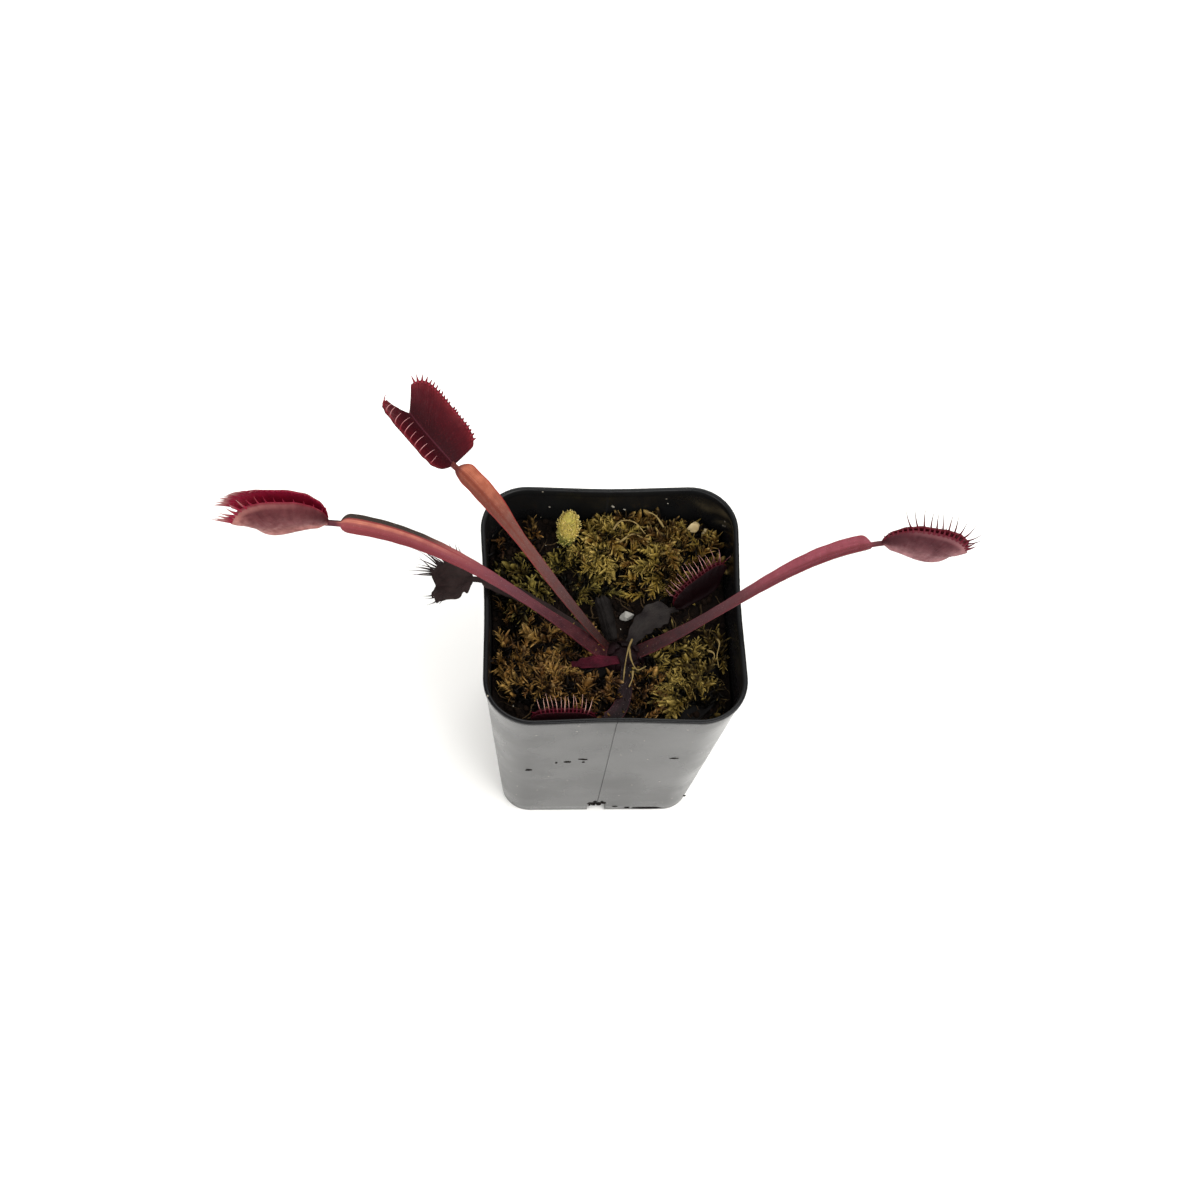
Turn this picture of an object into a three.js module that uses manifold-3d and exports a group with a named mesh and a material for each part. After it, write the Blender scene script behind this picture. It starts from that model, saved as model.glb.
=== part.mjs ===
// Potted venus flytrap: a square nursery pot, its root ball with moss, and a plant of five trap
// leaves, one withered leaf and one young leaf. Millimetres, +Z up, origin at the middle of the
// pot's underside. Seen from the front (along +Y) the right-hand leaf points to +X.

import * as THREE from 'three';
import { LoftGeometry } from 'three/addons/geometries/LoftGeometry.js';
import { mergeVertices } from 'three/addons/utils/BufferGeometryUtils.js';
import Module from 'manifold-3d';

// ---- driving dimensions ----------------------------------------------------------------------

const POT_HEIGHT = 76.2;
const POT_TOP = 63.5; // outer side of the square at the rim
const POT_BASE = 48.8; // outer side of the square at the foot
const RIM_RADIUS = 11.6; // corner radius at the rim
const BASE_RADIUS = 7.1; // corner radius at the foot
const RIM_BOW = 0.7; // how far the middle of each rim side is drawn in
const WALL = 0.9;
const FLOOR = 1.4;
const BEAD_HEIGHT = 1.8;
const BEAD_STEP = 0.35; // how far the rim's bead stands out of the wall
const FOOT_BEVEL = 0.5;
const LIP_BEVEL = 0.4;
const DRAIN_NOTCH = { width: 4.6, depth: 4.5, height: 7.4 };
const DRAIN_HOLE = { radius: 3, offset: 13.5 };

const GAP = 0.3; // clearance between pieces that touch
const SOIL_LEVEL = 63.2;
const SOIL_EDGE = 3; // how far below the soil's level the root ball's straight side ends
const SHEET = 0.7; // thickness of a trap's lobe at its edge
const MIDRIB = 0.6; // how far the midrib stands out of a trap's outer face
const WING = 0.7; // thickness of a leaf stalk's wing
const NECK_WIDTH = 1.2; // width of the thin joint between stalk and trap
const TOOTH = { root: 0.36, tip: 0.08, sunk: 0.6 };

const CROWN = { x: 3, y: -8.8, z: 59.6, width: 12, depth: 9.2, height: 14 };
const SOCKET_DEPTH = 2.5; // how far a leaf's foot reaches back into the crown

// Leaves. base: where the stalk leaves the crown; heading and rise: its direction in degrees at
// the foot, the middle and the joint; widths at the foot, the waist and the blade, with the
// places of the last two along the stalk; neck: length of the thin joint before the trap.
const LEAVES = {
  left: {
    base: [-1.2, -8.9, 66], heading: [168, 162.6, 178.4], rise: [44.3, 32, 3.9], length: 80,
    foot: 4.2, waist: 2.4, waistAt: 0.3, blade: 4.7, bladeAt: 0.95, neck: 2.6, vee: 42, bank: -18,
    trap: { heading: 179.5, rise: 1.3, roll: -12, length: 17, width: 9.2, open: 10, curl: 52,
      sag: 3, sagSkew: 2.1, corner: 0.9, start: 172, teeth: 13, tooth: 5.6, hook: 20 },
  },
  rear_left: {
    base: [-0.9, -6.8, 66], heading: [171.2, 142.1, 153.1], rise: [62.4, 45, 39.4], length: 66,
    foot: 2.3, waist: 2.9, waistAt: 0.6, blade: 5.8, bladeAt: 0.9, neck: 0.9, vee: 30, bank: 0,
    trap: { heading: 130.3, rise: 11.2, roll: -14.3, length: 16.2, width: 8.4, open: 62, curl: 40,
      sag: 0.4, sagSkew: 1.6, corner: 0.5, start: 150, teeth: 14, tooth: 3.4, hook: 75 },
  },
  right: {
    base: [7, -8, 66], heading: [2.4, 17.1, 5.2], rise: [41.1, 35.7, 3.6], length: 66.9,
    foot: 3.2, waist: 2.3, waistAt: 0.26, blade: 4.8, bladeAt: 0.9, neck: 2.2, vee: 28, bank: -18,
    trap: { heading: -14, rise: 8.1, roll: 9.8, length: 15.4, width: 7.5, open: 3, curl: 42,
      sag: 2.9, sagSkew: 1.6, corner: 1.2, start: 176, teeth: 13, tooth: 4.4, hook: 10 },
  },
  inner_right: {
    base: [4.9, -5.7, 65.6], heading: [60, 36, 8], rise: [24, 10, 6], length: 14,
    foot: 2.8, waist: 5.8, waistAt: 0.45, blade: 6.8, bladeAt: 0.75, neck: 1.2, vee: 12, bank: 0,
    trap: { heading: 33, rise: 13, roll: 30, length: 12.4, width: 4.5, open: 4, curl: 38,
      sag: 1.4, sagSkew: 1.7, corner: 0.8, start: 168, teeth: 10, tooth: 4.8, hook: 8 },
  },
  front: {
    base: [3.6, -12, 65.4], heading: [-96, -108, -176], rise: [12, 2, 2], length: 19,
    foot: 2.6, waist: 3.4, waistAt: 0.4, blade: 4, bladeAt: 0.8, neck: 1.2, vee: 15, bank: 0,
    trap: { heading: 184, rise: 9, roll: -16, length: 12.6, width: 4.9, open: 4, curl: 36,
      sag: 1.3, sagSkew: 1.7, corner: 0.8, start: 165, teeth: 10, tooth: 4.8, hook: 6 },
  },
};

// The withered leaf: its stalk creeps over the soil and climbs over the left rim, and its trap
// hangs outside.
const DEAD_ROUTE = [
  [-0.4, -6.6, 64.6], [-9, -2, 68], [-17, 1.6, 71.5], [-25, 3.6, 75.6], [-31, 4.8, 78.6],
  [-34.4, 5.4, 78.4],
];
const DEAD_LEAF = {
  foot: 2.2, waist: 2.4, waistAt: 0.4, blade: 3.6, bladeAt: 0.75, neck: 3, vee: 10, bank: 0,
  trap: { heading: 176, rise: -30, roll: 6, length: 8.4, width: 6, open: 66, curl: 24,
    sag: 0.8, sagSkew: 1.5, corner: 0.6, start: 150, teeth: 9, tooth: 5.2, hook: 15, bare: 1 },
};

const YOUNG_LEAF = {
  base: [0.3, -10.9, 66.8], heading: [194, 188, 182], rise: [16, 4, -6], length: 9.5,
  foot: 2.4, waist: 4.2, waistAt: 0.45, blade: 3.4, bladeAt: 0.7, neck: 0.6, vee: 14, bank: 0,
};

const STUB = { base: [0.4, -3.4, 63], tip: [-2.4, 3.2, 71.5], foot: 1.7, top: 1 };

// Moss cushions on the soil: middle, half sizes, height, number of strands.
const MOSS = {
  moss_rear: { x: 10.5, y: 17.5, rx: 16.5, ry: 10.6, turn: -4, height: 2.6, strands: 38 },
  moss_left: { x: -20.5, y: 10, rx: 7, ry: 6.2, turn: 20, height: 2.2, strands: 14 },
  moss_front_left: { x: -13.5, y: -13, rx: 14, ry: 9.6, turn: 6, height: 2.8, strands: 32 },
  moss_front_right: { x: 18.5, y: -14, rx: 9.5, ry: 12, turn: 12, height: 2.8, strands: 28 },
};
const STRAND = { length: 4.4, root: 0.75, tip: 0.15 };

const SPHAGNUM_HEAD = { x: -9.9, y: 23.6, radius: 3.2, height: 10, leaves: 20 };

// Loose grains on the soil: middle, size and turn in radians.
const GRAINS = {
  bark_chip: { x: 21.4, y: 25.6, length: 3.4, width: 2.4, height: 2.6, turn: 0.4 },
  perlite_grain: { x: 4.2, y: 1.3, length: 3.2, width: 2.7, height: 2, turn: 1.1 },
};

const COLOURS = {
  pot: 0x1b1c1d, growing_medium: 0x2b211a, crown: 0x4a1d24, moss: 0x7a6426, moss_left: 0x5d6330,
  sphagnum_head: 0xb9b274, bark_chip: 0xd9c8a2, perlite_grain: 0xa9a69c, withered_stub: 0x2c2622,
  dead_leaf: 0x3a3030, young_leaf: 0x4e1420, petiole: 0x8a4a4e, dark_petiole: 0x41282b,
  trap: 0x6b1824,
};

// ---- small helpers ---------------------------------------------------------------------------

const wasm = await Module();
wasm.setup();

const radians = THREE.MathUtils.degToRad;
const vector = (list) => new THREE.Vector3(...list);
const mix = THREE.MathUtils.lerp;
const smooth = (t) => THREE.MathUtils.smoothstep(t, 0, 1);
const range = (count) => Array.from({ length: count }, (_, i) => i);
const GOLDEN_ANGLE = Math.PI * (3 - Math.sqrt(5));

/** A repeatable row of numbers between 0 and 1. */
function dice(seed) {
  let state = seed;
  return () => {
    state = (state * 16807) % 2147483647;
    return state / 2147483647;
  };
}

/** The value of a curve through start, middle and end at s from 0 to 1. */
function through([start, middle, end], s) {
  return start * (1 - s) * (1 - 2 * s) + middle * 4 * s * (1 - s) + end * s * (2 * s - 1);
}

/** A closed three.js geometry as a solid that can be joined and cut. */
function solid(geometry) {
  const bare = new THREE.BufferGeometry();
  bare.setAttribute('position', geometry.getAttribute('position'));
  bare.setIndex(geometry.getIndex());
  const merged = mergeVertices(bare, 1e-4);
  const index = merged.getIndex().array;
  const triangles = [];
  for (let i = 0; i < index.length; i += 3) {
    const [a, b, c] = index.slice(i, i + 3);
    if (a !== b && b !== c && c !== a) triangles.push(a, b, c);
  }
  return new wasm.Manifold(new wasm.Mesh({
    numProp: 3,
    vertProperties: new Float32Array(merged.getAttribute('position').array),
    triVerts: new Uint32Array(triangles),
  }));
}

/** The largest connected body of a solid, as a three.js geometry. */
function geometryOf(body) {
  const pieces = body.decompose().sort((a, b) => b.volume() - a.volume());
  const { vertProperties, triVerts } = pieces[0].getMesh();
  const geometry = new THREE.BufferGeometry();
  geometry.setAttribute('position', new THREE.BufferAttribute(vertProperties, 3));
  geometry.setIndex(new THREE.BufferAttribute(triVerts, 1));
  geometry.computeVertexNormals();
  return geometry;
}

const loft = (sections) => new LoftGeometry(sections, { capStart: true, capEnd: true });

/** A loft whose two ends close on points instead of flat caps. */
function domed(start, sections, end) {
  const pole = (point) => sections[0].map(() => point);
  return new LoftGeometry([pole(start), ...sections, pole(end)]);
}

/** A loft of thin sections, each a front face and then a back face, zipped shut at both ends. */
function sheet(sections) {
  const zipped = (ring) => {
    const half = ring.slice(0, ring.length / 2);
    const middle = half.map((point, k) => point.clone().lerp(ring[ring.length - 1 - k], 0.5));
    return [...middle, ...middle.toReversed()];
  };
  return new LoftGeometry([zipped(sections[0]), ...sections, zipped(sections.at(-1))]);
}

/** A bent tapering spike with three sides, from root along a direction that turns to the end one. */
function spike(root, direction, endDirection, length, rootRadius, tipRadius) {
  const side = new THREE.Vector3().crossVectors(direction, endDirection);
  if (side.length() < 0.05) side.crossVectors(direction, new THREE.Vector3(0.3, 0.2, 1));
  side.normalize();
  const place = root.clone();
  const sections = range(3).map((i) => {
    const along = direction.clone().lerp(endDirection, i / 2).normalize();
    const across = new THREE.Vector3().crossVectors(side, along).normalize();
    if (i > 0) place.addScaledVector(along, length / 2);
    const radius = mix(rootRadius, tipRadius, i / 2);
    return range(3).map((k) => {
      const turn = (k / 3) * 2 * Math.PI;
      return place.clone()
        .addScaledVector(across, radius * Math.cos(turn))
        .addScaledVector(side, radius * Math.sin(turn));
    });
  });
  return loft(sections);
}

function mesh(name, geometry, colour, roughness) {
  const material = new THREE.MeshStandardMaterial({ color: colour, roughness, metalness: 0 });
  const result = new THREE.Mesh(geometry, material);
  result.name = name;
  return result;
}

// ---- pot -------------------------------------------------------------------------------------

/** A square ring with round corners, each side drawn in smoothly by bow at its middle. */
function squareRing(half, radius, bow, z) {
  const corner = half - radius;
  const points = [];
  for (const quarter of range(4)) {
    const turn = (quarter * Math.PI) / 2;
    const along = [-0.5, 0, 0.5].map((t) => [half, t * corner]);
    const round = range(6).map((k) => {
      const angle = (k / 5) * (Math.PI / 2);
      return [corner + radius * Math.cos(angle), corner + radius * Math.sin(angle)];
    });
    for (const [x, y] of [...along, ...round]) {
      const drawn = 1 - (bow / half) * Math.cos(2 * Math.atan2(y, x)) ** 2;
      const [c, s] = [Math.cos(turn) * drawn, Math.sin(turn) * drawn];
      points.push(new THREE.Vector3(x * c - y * s, x * s + y * c, z));
    }
  }
  return points;
}

/** The pot's outer skin at height z, moved inwards by inset. */
function potRing(z, inset) {
  const t = z / POT_HEIGHT;
  const half = mix(POT_BASE, POT_TOP - 2 * BEAD_STEP, t) / 2 - inset;
  const radius = Math.max(mix(BASE_RADIUS, RIM_RADIUS, t) - inset, 1);
  return squareRing(half, radius, RIM_BOW * t * t, z);
}

function pot() {
  const beadFoot = POT_HEIGHT - BEAD_HEIGHT;
  const outer = loft([
    potRing(0, FOOT_BEVEL), potRing(FOOT_BEVEL, 0), potRing(beadFoot - BEAD_STEP, 0),
    potRing(beadFoot, -BEAD_STEP), potRing(POT_HEIGHT - LIP_BEVEL, -BEAD_STEP),
    potRing(POT_HEIGHT, 0),
  ]);
  const inner = loft([
    potRing(FLOOR, WALL + FOOT_BEVEL), potRing(FLOOR + FOOT_BEVEL, WALL),
    potRing(beadFoot, WALL), potRing(POT_HEIGHT - LIP_BEVEL, WALL),
    potRing(POT_HEIGHT + LIP_BEVEL, WALL - LIP_BEVEL),
  ]);
  let body = solid(outer).subtract(solid(inner));
  for (const turn of range(4)) {
    const angle = (turn * Math.PI) / 2;
    const notch = new THREE.BoxGeometry(
      DRAIN_NOTCH.depth * 2, DRAIN_NOTCH.width, DRAIN_NOTCH.height * 2,
    );
    notch.translate(POT_BASE / 2, 0, 0).rotateZ(angle);
    const hole = new THREE.CylinderGeometry(DRAIN_HOLE.radius, DRAIN_HOLE.radius, FLOOR * 4, 12);
    hole.rotateX(Math.PI / 2).translate(DRAIN_HOLE.offset, DRAIN_HOLE.offset, 0).rotateZ(angle);
    body = body.subtract(solid(notch)).subtract(solid(hole));
  }
  return geometryOf(body);
}

// ---- soil ------------------------------------------------------------------------------------

/** Height of the soil at a point of the plan. */
function ground(x, y) {
  const swell = 0.8 * Math.sin(0.29 * x + 0.8) * Math.cos(0.25 * y - 0.4);
  return SOIL_LEVEL + swell + 0.35 * Math.sin(0.8 * x - 0.6 * y);
}

/** The root ball, raised by lift: a plug that fills the pot, with the soil's relief on top. */
function rootBall(lift) {
  const floor = FLOOR + GAP;
  const edge = potRing(SOIL_LEVEL, WALL + GAP);
  const sections = [
    potRing(floor, WALL + GAP + FOOT_BEVEL), potRing(floor + 2 * FOOT_BEVEL, WALL + GAP),
    potRing(SOIL_LEVEL - SOIL_EDGE, WALL + GAP),
  ];
  for (const scale of [1, 0.86, 0.72, 0.58, 0.44, 0.3, 0.15]) {
    sections.push(edge.map((p) => {
      const [x, y] = [p.x * scale, p.y * scale];
      return new THREE.Vector3(x, y, ground(x, y) + lift);
    }));
  }
  const top = new THREE.Vector3(0, 0, ground(0, 0) + lift);
  return solid(domed(new THREE.Vector3(0, 0, floor), sections, top));
}

/** One moss cushion: a low lumpy core with strands that stand out of it all round. */
function mossCushion(name, seed) {
  const { x, y, rx, ry, turn, height, strands } = MOSS[name];
  const random = dice(seed);
  const place = (angle, reach) => {
    const wobble = 1 + 0.1 * Math.sin(3 * angle + seed) + 0.06 * Math.sin(5 * angle - seed);
    const [u, v] = [rx * reach * wobble * Math.cos(angle), ry * reach * wobble * Math.sin(angle)];
    const [c, s] = [Math.cos(radians(turn)), Math.sin(radians(turn))];
    return [x + u * c - v * s, y + u * s + v * c];
  };
  const ring = (reach, rise) => range(14).map((k) => {
    const [px, py] = place((k / 14) * 2 * Math.PI, reach);
    const lump = rise > 0 ? 0.3 * Math.sin(1.1 * px) * Math.cos(1.3 * py) * rise : 0;
    return new THREE.Vector3(px, py, ground(px, py) + GAP + rise + lump);
  });
  const foot = new THREE.Vector3(x, y, ground(x, y) - 1);
  const top = new THREE.Vector3(x, y, ground(x, y) + GAP + height);
  const core = domed(foot, [
    ring(0.9, -1), ring(1, 0.7), ring(0.85, 0.55 * height), ring(0.6, 0.8 * height),
    ring(0.3, height),
  ], top);
  const parts = [solid(core)];
  for (const i of range(strands)) {
    const reach = Math.sqrt((i + 0.5) / strands) * 0.94;
    const angle = i * GOLDEN_ANGLE;
    const [px, py] = place(angle, reach);
    const dome = height * (1 - 0.45 * reach * reach) - 1;
    const root = new THREE.Vector3(px, py, ground(px, py) + GAP + Math.max(dome, 0.2));
    const lean = angle + radians(turn) + (random() - 0.5) * 2.4;
    const outward = new THREE.Vector3(Math.cos(lean), Math.sin(lean), 0);
    const up = new THREE.Vector3(0, 0, 1);
    const start = up.clone().addScaledVector(outward, 0.3 + 0.5 * random()).normalize();
    const end = outward.clone().addScaledVector(up, 0.1 + 0.7 * random()).normalize();
    const length = STRAND.length * (0.8 + 0.5 * random());
    parts.push(solid(spike(root, start, end, length, STRAND.root, STRAND.tip)));
  }
  return wasm.Manifold.union(parts);
}

// ---- leaves ----------------------------------------------------------------------------------

/** The centre line of a stalk from its foot, in steps of equal length. */
function centreLine({ heading, rise, length }, steps = 24) {
  const place = new THREE.Vector3();
  const line = [place.clone()];
  for (const i of range(steps)) {
    const s = (i + 0.5) / steps;
    const [h, e] = [radians(through(heading, s)), radians(through(rise, s))];
    place.add(new THREE.Vector3(
      Math.cos(h) * Math.cos(e), Math.sin(h) * Math.cos(e), Math.sin(e),
    ).multiplyScalar(length / steps));
    line.push(place.clone());
  }
  return new THREE.CatmullRomCurve3(line);
}

/** Width of a stalk at s: foot, waist, blade, round shoulders, then the thin neck. */
function stalkWidth(leaf, s, length) {
  const neckAt = 1 - leaf.neck / length;
  const shoulder = neckAt - (0.5 * leaf.blade) / length;
  if (s >= neckAt) return NECK_WIDTH;
  let width = mix(leaf.foot, leaf.waist, smooth(s / leaf.waistAt));
  if (s > leaf.waistAt) {
    width = mix(leaf.waist, leaf.blade, smooth((s - leaf.waistAt) / (leaf.bladeAt - leaf.waistAt)));
  }
  if (s > shoulder) {
    const t = (s - shoulder) / (neckAt - shoulder);
    width = Math.max(NECK_WIDTH, width * Math.sqrt(1 - t * t));
  }
  return width;
}

/** A winged stalk along a curve: a keel below and two wings raised to a shallow channel. */
function stalk(leaf, curve, root, grow = 0) {
  const length = curve.getLength();
  const neckAt = 1 - leaf.neck / length;
  const roundEnd = (0.5 * leaf.blade) / length;
  const steps = Math.max(5, Math.round(length / 6));
  const stops = [
    -root / length, 0,
    ...range(steps).map((i) => ((i + 1) / steps) * (neckAt - roundEnd)),
    ...[0.5, 0.85, 1].map((t) => neckAt - roundEnd * (1 - t)),
    1,
  ];
  const sections = stops.map((s) => {
    const t = THREE.MathUtils.clamp(s, 0, 1);
    const along = curve.getTangentAt(t);
    const centre = curve.getPointAt(t);
    if (s < 0) centre.addScaledVector(along, s * length - grow);
    if (s === 1) centre.addScaledVector(along, grow);
    const left = new THREE.Vector3(-along.y, along.x, 0).normalize();
    left.applyAxisAngle(along, radians(leaf.bank) * smooth(s));
    const up = new THREE.Vector3().crossVectors(along, left);
    const width = stalkWidth(leaf, Math.max(s, 0), length);
    const half = width / 2 + grow;
    const flat = THREE.MathUtils.clamp((width - NECK_WIDTH) / 3, 0, 1);
    const lift = half * Math.tan(radians(leaf.vee)) * flat * smooth(s * 3);
    const keel = mix(0.42 * leaf.foot + 0.4, 1.1, smooth(s * 2.5)) * mix(0.7, 1, flat) + grow;
    const edge = WING + grow;
    const outline = [
      [half, lift + grow], [half / 2, lift * 0.3 + grow + 0.1], [0, grow],
      [-half / 2, lift * 0.3 + grow + 0.1], [-half, lift + grow],
      [-half, lift - edge], [-half / 2, lift * 0.3 - 0.8 * keel], [0, -keel - 0.1],
      [half / 2, lift * 0.3 - 0.8 * keel], [half, lift - edge],
    ];
    return outline.map(([a, b]) => centre.clone().addScaledVector(left, a).addScaledVector(up, b));
  });
  return sheet(sections);
}

// ---- traps -----------------------------------------------------------------------------------

/** A point of a trap's inner face. X runs along the midrib and Z is the way the trap opens; u goes
    from the joint to the tip, and w from one lobe's edge (-1) over the midrib (0) to the other's. */
function lobe(trap, u, w) {
  const v = Math.abs(w);
  const angle = radians(mix(trap.start, 10, u));
  const power = angle > Math.PI / 2 ? trap.corner : 0.5;
  const squash = (value) => Math.sign(value) * Math.abs(value) ** power;
  const edgeX = trap.length * (0.64 + 0.65 * squash(Math.cos(angle)));
  const reach = v * trap.width * squash(Math.sin(angle));
  const curl = radians(trap.curl);
  const first = radians(trap.open) + curl / 2;
  const last = first - curl * v;
  const rise = v ? (Math.sin(first) - Math.sin(last)) / (curl * v) : 0;
  const spread = v ? (Math.cos(last) - Math.cos(first)) / (curl * v) : 0;
  const sag = trap.sag * Math.sin(Math.PI * u ** trap.sagSkew) * (1 - v) ** 1.5;
  return new THREE.Vector3(
    mix(trap.length * u, edgeX, v), Math.sign(w) * reach * spread, reach * rise - sag,
  );
}

/** The outward normal of a trap's face. */
function lobeNormal(trap, u, w) {
  const step = 0.01;
  const lengthways = lobe(trap, Math.min(u + step, 1), w).sub(lobe(trap, Math.max(u - step, 0), w));
  const across = lobe(trap, u, Math.min(w + step, 1)).sub(lobe(trap, u, Math.max(w - step, -1)));
  return across.cross(lengthways).normalize();
}

/** A trap: two lobes hinged on one midrib, with a row of teeth on each edge. */
function trapSolid(trap, seed) {
  const columns = range(9).map((j) => j / 4 - 1);
  const sections = range(9).map((i) => {
    const u = i / 8;
    const inner = columns.map((w) => lobe(trap, u, w));
    const outer = columns.map((w) => {
      const rib = MIDRIB * Math.exp(-((w / 0.15) ** 2));
      return lobe(trap, u, w).addScaledVector(lobeNormal(trap, u, w), SHEET + rib);
    });
    return [...outer, ...inner.reverse()];
  });
  const random = dice(seed);
  const parts = [solid(sheet(sections))];
  for (const side of [-1, 1].filter((each) => each !== trap.bare)) {
    for (const i of range(trap.teeth)) {
      const u = 0.08 + (0.9 * (i + 0.5 + 0.25 * side)) / trap.teeth;
      const root = lobe(trap, u, side * 0.93);
      const normal = lobeNormal(trap, u, side);
      root.addScaledVector(normal, SHEET / 2);
      const outwards = lobe(trap, u, side).sub(lobe(trap, u, side * 0.9)).normalize();
      const inwards = normal.clone().negate();
      const hook = radians(trap.hook * (0.7 + 0.6 * random()));
      const end = outwards.clone().multiplyScalar(Math.cos(hook));
      end.addScaledVector(inwards, Math.sin(hook)).normalize();
      const length = trap.tooth * (0.75 + 0.35 * random()) * (0.55 + 0.45 * Math.sin(Math.PI * u));
      parts.push(solid(spike(root, outwards, end, length + TOOTH.sunk, TOOTH.root, TOOTH.tip)));
    }
  }
  return wasm.Manifold.union(parts);
}

/** Places a trap at its joint, just clear of the stalk's end. */
function placeTrap(target, trap, joint) {
  const turn = new THREE.Euler(
    -radians(trap.roll), -radians(trap.rise), radians(trap.heading), 'ZYX',
  );
  target.rotation.copy(turn);
  target.position.copy(joint).add(new THREE.Vector3(GAP, 0, 0).applyEuler(turn));
}

// ---- assembly --------------------------------------------------------------------------------

const plant = new THREE.Group();
plant.add(mesh('pot', pot(), COLOURS.pot, 0.4));

const stalks = {};
const clearances = [];
for (const [name, leaf] of Object.entries(LEAVES)) {
  const curve = centreLine(leaf);
  const at = vector(leaf.base);
  const clearance = solid(stalk(leaf, curve, SOCKET_DEPTH, GAP).translate(at.x, at.y, at.z));
  let body = solid(stalk(leaf, curve, SOCKET_DEPTH).translate(at.x, at.y, at.z));
  for (const other of clearances) body = body.subtract(other);
  clearances.push(clearance);
  stalks[name] = { curve, at, body };
}

const youngCurve = centreLine(YOUNG_LEAF);
const youngAt = vector(YOUNG_LEAF.base);
const youngLeaf = (grow) => solid(
  stalk(YOUNG_LEAF, youngCurve, 1.5, grow).translate(youngAt.x, youngAt.y, youngAt.z),
);
let youngBody = youngLeaf(0);
for (const other of clearances) youngBody = youngBody.subtract(other);
clearances.push(youngLeaf(GAP));

const deadCurve = new THREE.CatmullRomCurve3(DEAD_ROUTE.map(vector));
const deadJoint = deadCurve.getPoint(1).addScaledVector(deadCurve.getTangent(1), -1);
const deadHolder = new THREE.Object3D();
placeTrap(deadHolder, DEAD_LEAF.trap, deadJoint);
deadHolder.updateMatrix();
const deadTrap = trapSolid(DEAD_LEAF.trap, 91).transform(deadHolder.matrix.elements);
let deadBody = solid(stalk(DEAD_LEAF, deadCurve, 1)).add(deadTrap);
for (const other of clearances) deadBody = deadBody.subtract(other);
clearances.push(solid(stalk(DEAD_LEAF, deadCurve, 1, GAP)));

/** The crown: a squat bulb with four blunt ribs, grown by a clearance. */
function crown(grow) {
  const sections = [0.12, 0.3, 0.5, 0.68, 0.84, 0.95].map((t) => {
    const polar = t * Math.PI;
    return range(12).map((k) => {
      const angle = (k / 12) * 2 * Math.PI;
      const rib = 1 + 0.05 * Math.cos(4 * angle);
      const reach = Math.sin(polar) * rib;
      return new THREE.Vector3(
        CROWN.x + (CROWN.width / 2 + grow) * reach * Math.cos(angle),
        CROWN.y + (CROWN.depth / 2 + grow) * reach * Math.sin(angle),
        CROWN.z - (CROWN.height / 2 + grow) * Math.cos(polar),
      );
    });
  });
  return solid(loft(sections));
}

const stubAxis = vector(STUB.tip).sub(vector(STUB.base));
const stub = (grow) => {
  const along = stubAxis.clone().normalize();
  const side = new THREE.Vector3(1, 0, 0).cross(along).normalize();
  const across = along.clone().cross(side);
  return solid(loft([0, 0.3, 0.65, 0.9, 1].map((t) => {
    const radius = mix(STUB.foot, STUB.top, t) * (t === 1 ? 0.6 : 1) + grow;
    const centre = vector(STUB.base).addScaledVector(stubAxis, t).addScaledVector(across, t * (1 - t));
    return range(7).map((k) => {
      const angle = (k / 7) * 2 * Math.PI;
      return centre.clone()
        .addScaledVector(side, radius * Math.cos(angle) * 0.7)
        .addScaledVector(across, radius * Math.sin(angle))
        .addScaledVector(along, t ? grow : -grow);
    });
  })));
};

let crownBody = crown(0);
for (const other of clearances) crownBody = crownBody.subtract(other);
clearances.push(crown(GAP), stub(GAP));

/** Pale sphagnum head: a fat bud covered by short pointed leaves, grown by a clearance. */
function sphagnumHead(grow) {
  const { x, y, radius, height, leaves } = SPHAGNUM_HEAD;
  const foot = ground(x, y) + GAP;
  const shape = (t) => radius * (0.55 + 0.55 * Math.sin(Math.PI * t ** 1.3)) * (t > 0.9 ? 0.6 : 1);
  const core = loft([0, 0.2, 0.45, 0.7, 0.88, 1].map((t) => range(9).map((k) => {
    const angle = (k / 9) * 2 * Math.PI;
    const reach = 0.85 * shape(t) + grow;
    return new THREE.Vector3(
      x + reach * Math.cos(angle), y + reach * Math.sin(angle), foot - 1 + t * (height - 0.2),
    );
  })));
  const parts = [solid(core)];
  for (const i of range(leaves)) {
    const t = 0.12 + (0.82 * i) / leaves;
    const angle = i * GOLDEN_ANGLE;
    const outward = new THREE.Vector3(Math.cos(angle), Math.sin(angle), 0);
    const up = new THREE.Vector3(0, 0, 1);
    const root = new THREE.Vector3(x, y, foot - 1 + t * (height - 0.6));
    root.addScaledVector(outward, 0.6 * shape(t));
    const start = outward.clone().addScaledVector(up, 0.5).normalize();
    const end = up.clone().addScaledVector(outward, 0.25).normalize();
    parts.push(solid(spike(root, start, end, 2.4 + grow, 0.75 + grow, 0.15 + grow)));
  }
  return wasm.Manifold.union(parts);
}

/** A bevelled grain lying on the soil, grown by a clearance. */
function grain(name, grow) {
  const { x, y, length, width, height, turn } = GRAINS[name];
  const foot = ground(x, y) + GAP;
  const layers = [[0.8, 0], [1, 0.4], [0.9, 0.85], [0.6, 1]];
  const sections = layers.map(([scale, level]) => range(6).map((k) => {
    const angle = (k / 6) * 2 * Math.PI + turn;
    const reach = scale * (1 + 0.15 * Math.sin(2 * k)) + grow / (width / 2);
    return new THREE.Vector3(
      x + (length / 2) * reach * Math.cos(angle), y + (width / 2) * reach * Math.sin(angle),
      foot + level * height + (level < 0.5 ? -grow : grow),
    );
  }));
  return solid(loft(sections));
}

const soilClearance = rootBall(GAP);
const insidePot = solid(loft([
  potRing(SOIL_LEVEL - SOIL_EDGE, WALL + GAP), potRing(POT_HEIGHT, WALL + GAP),
]));

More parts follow.
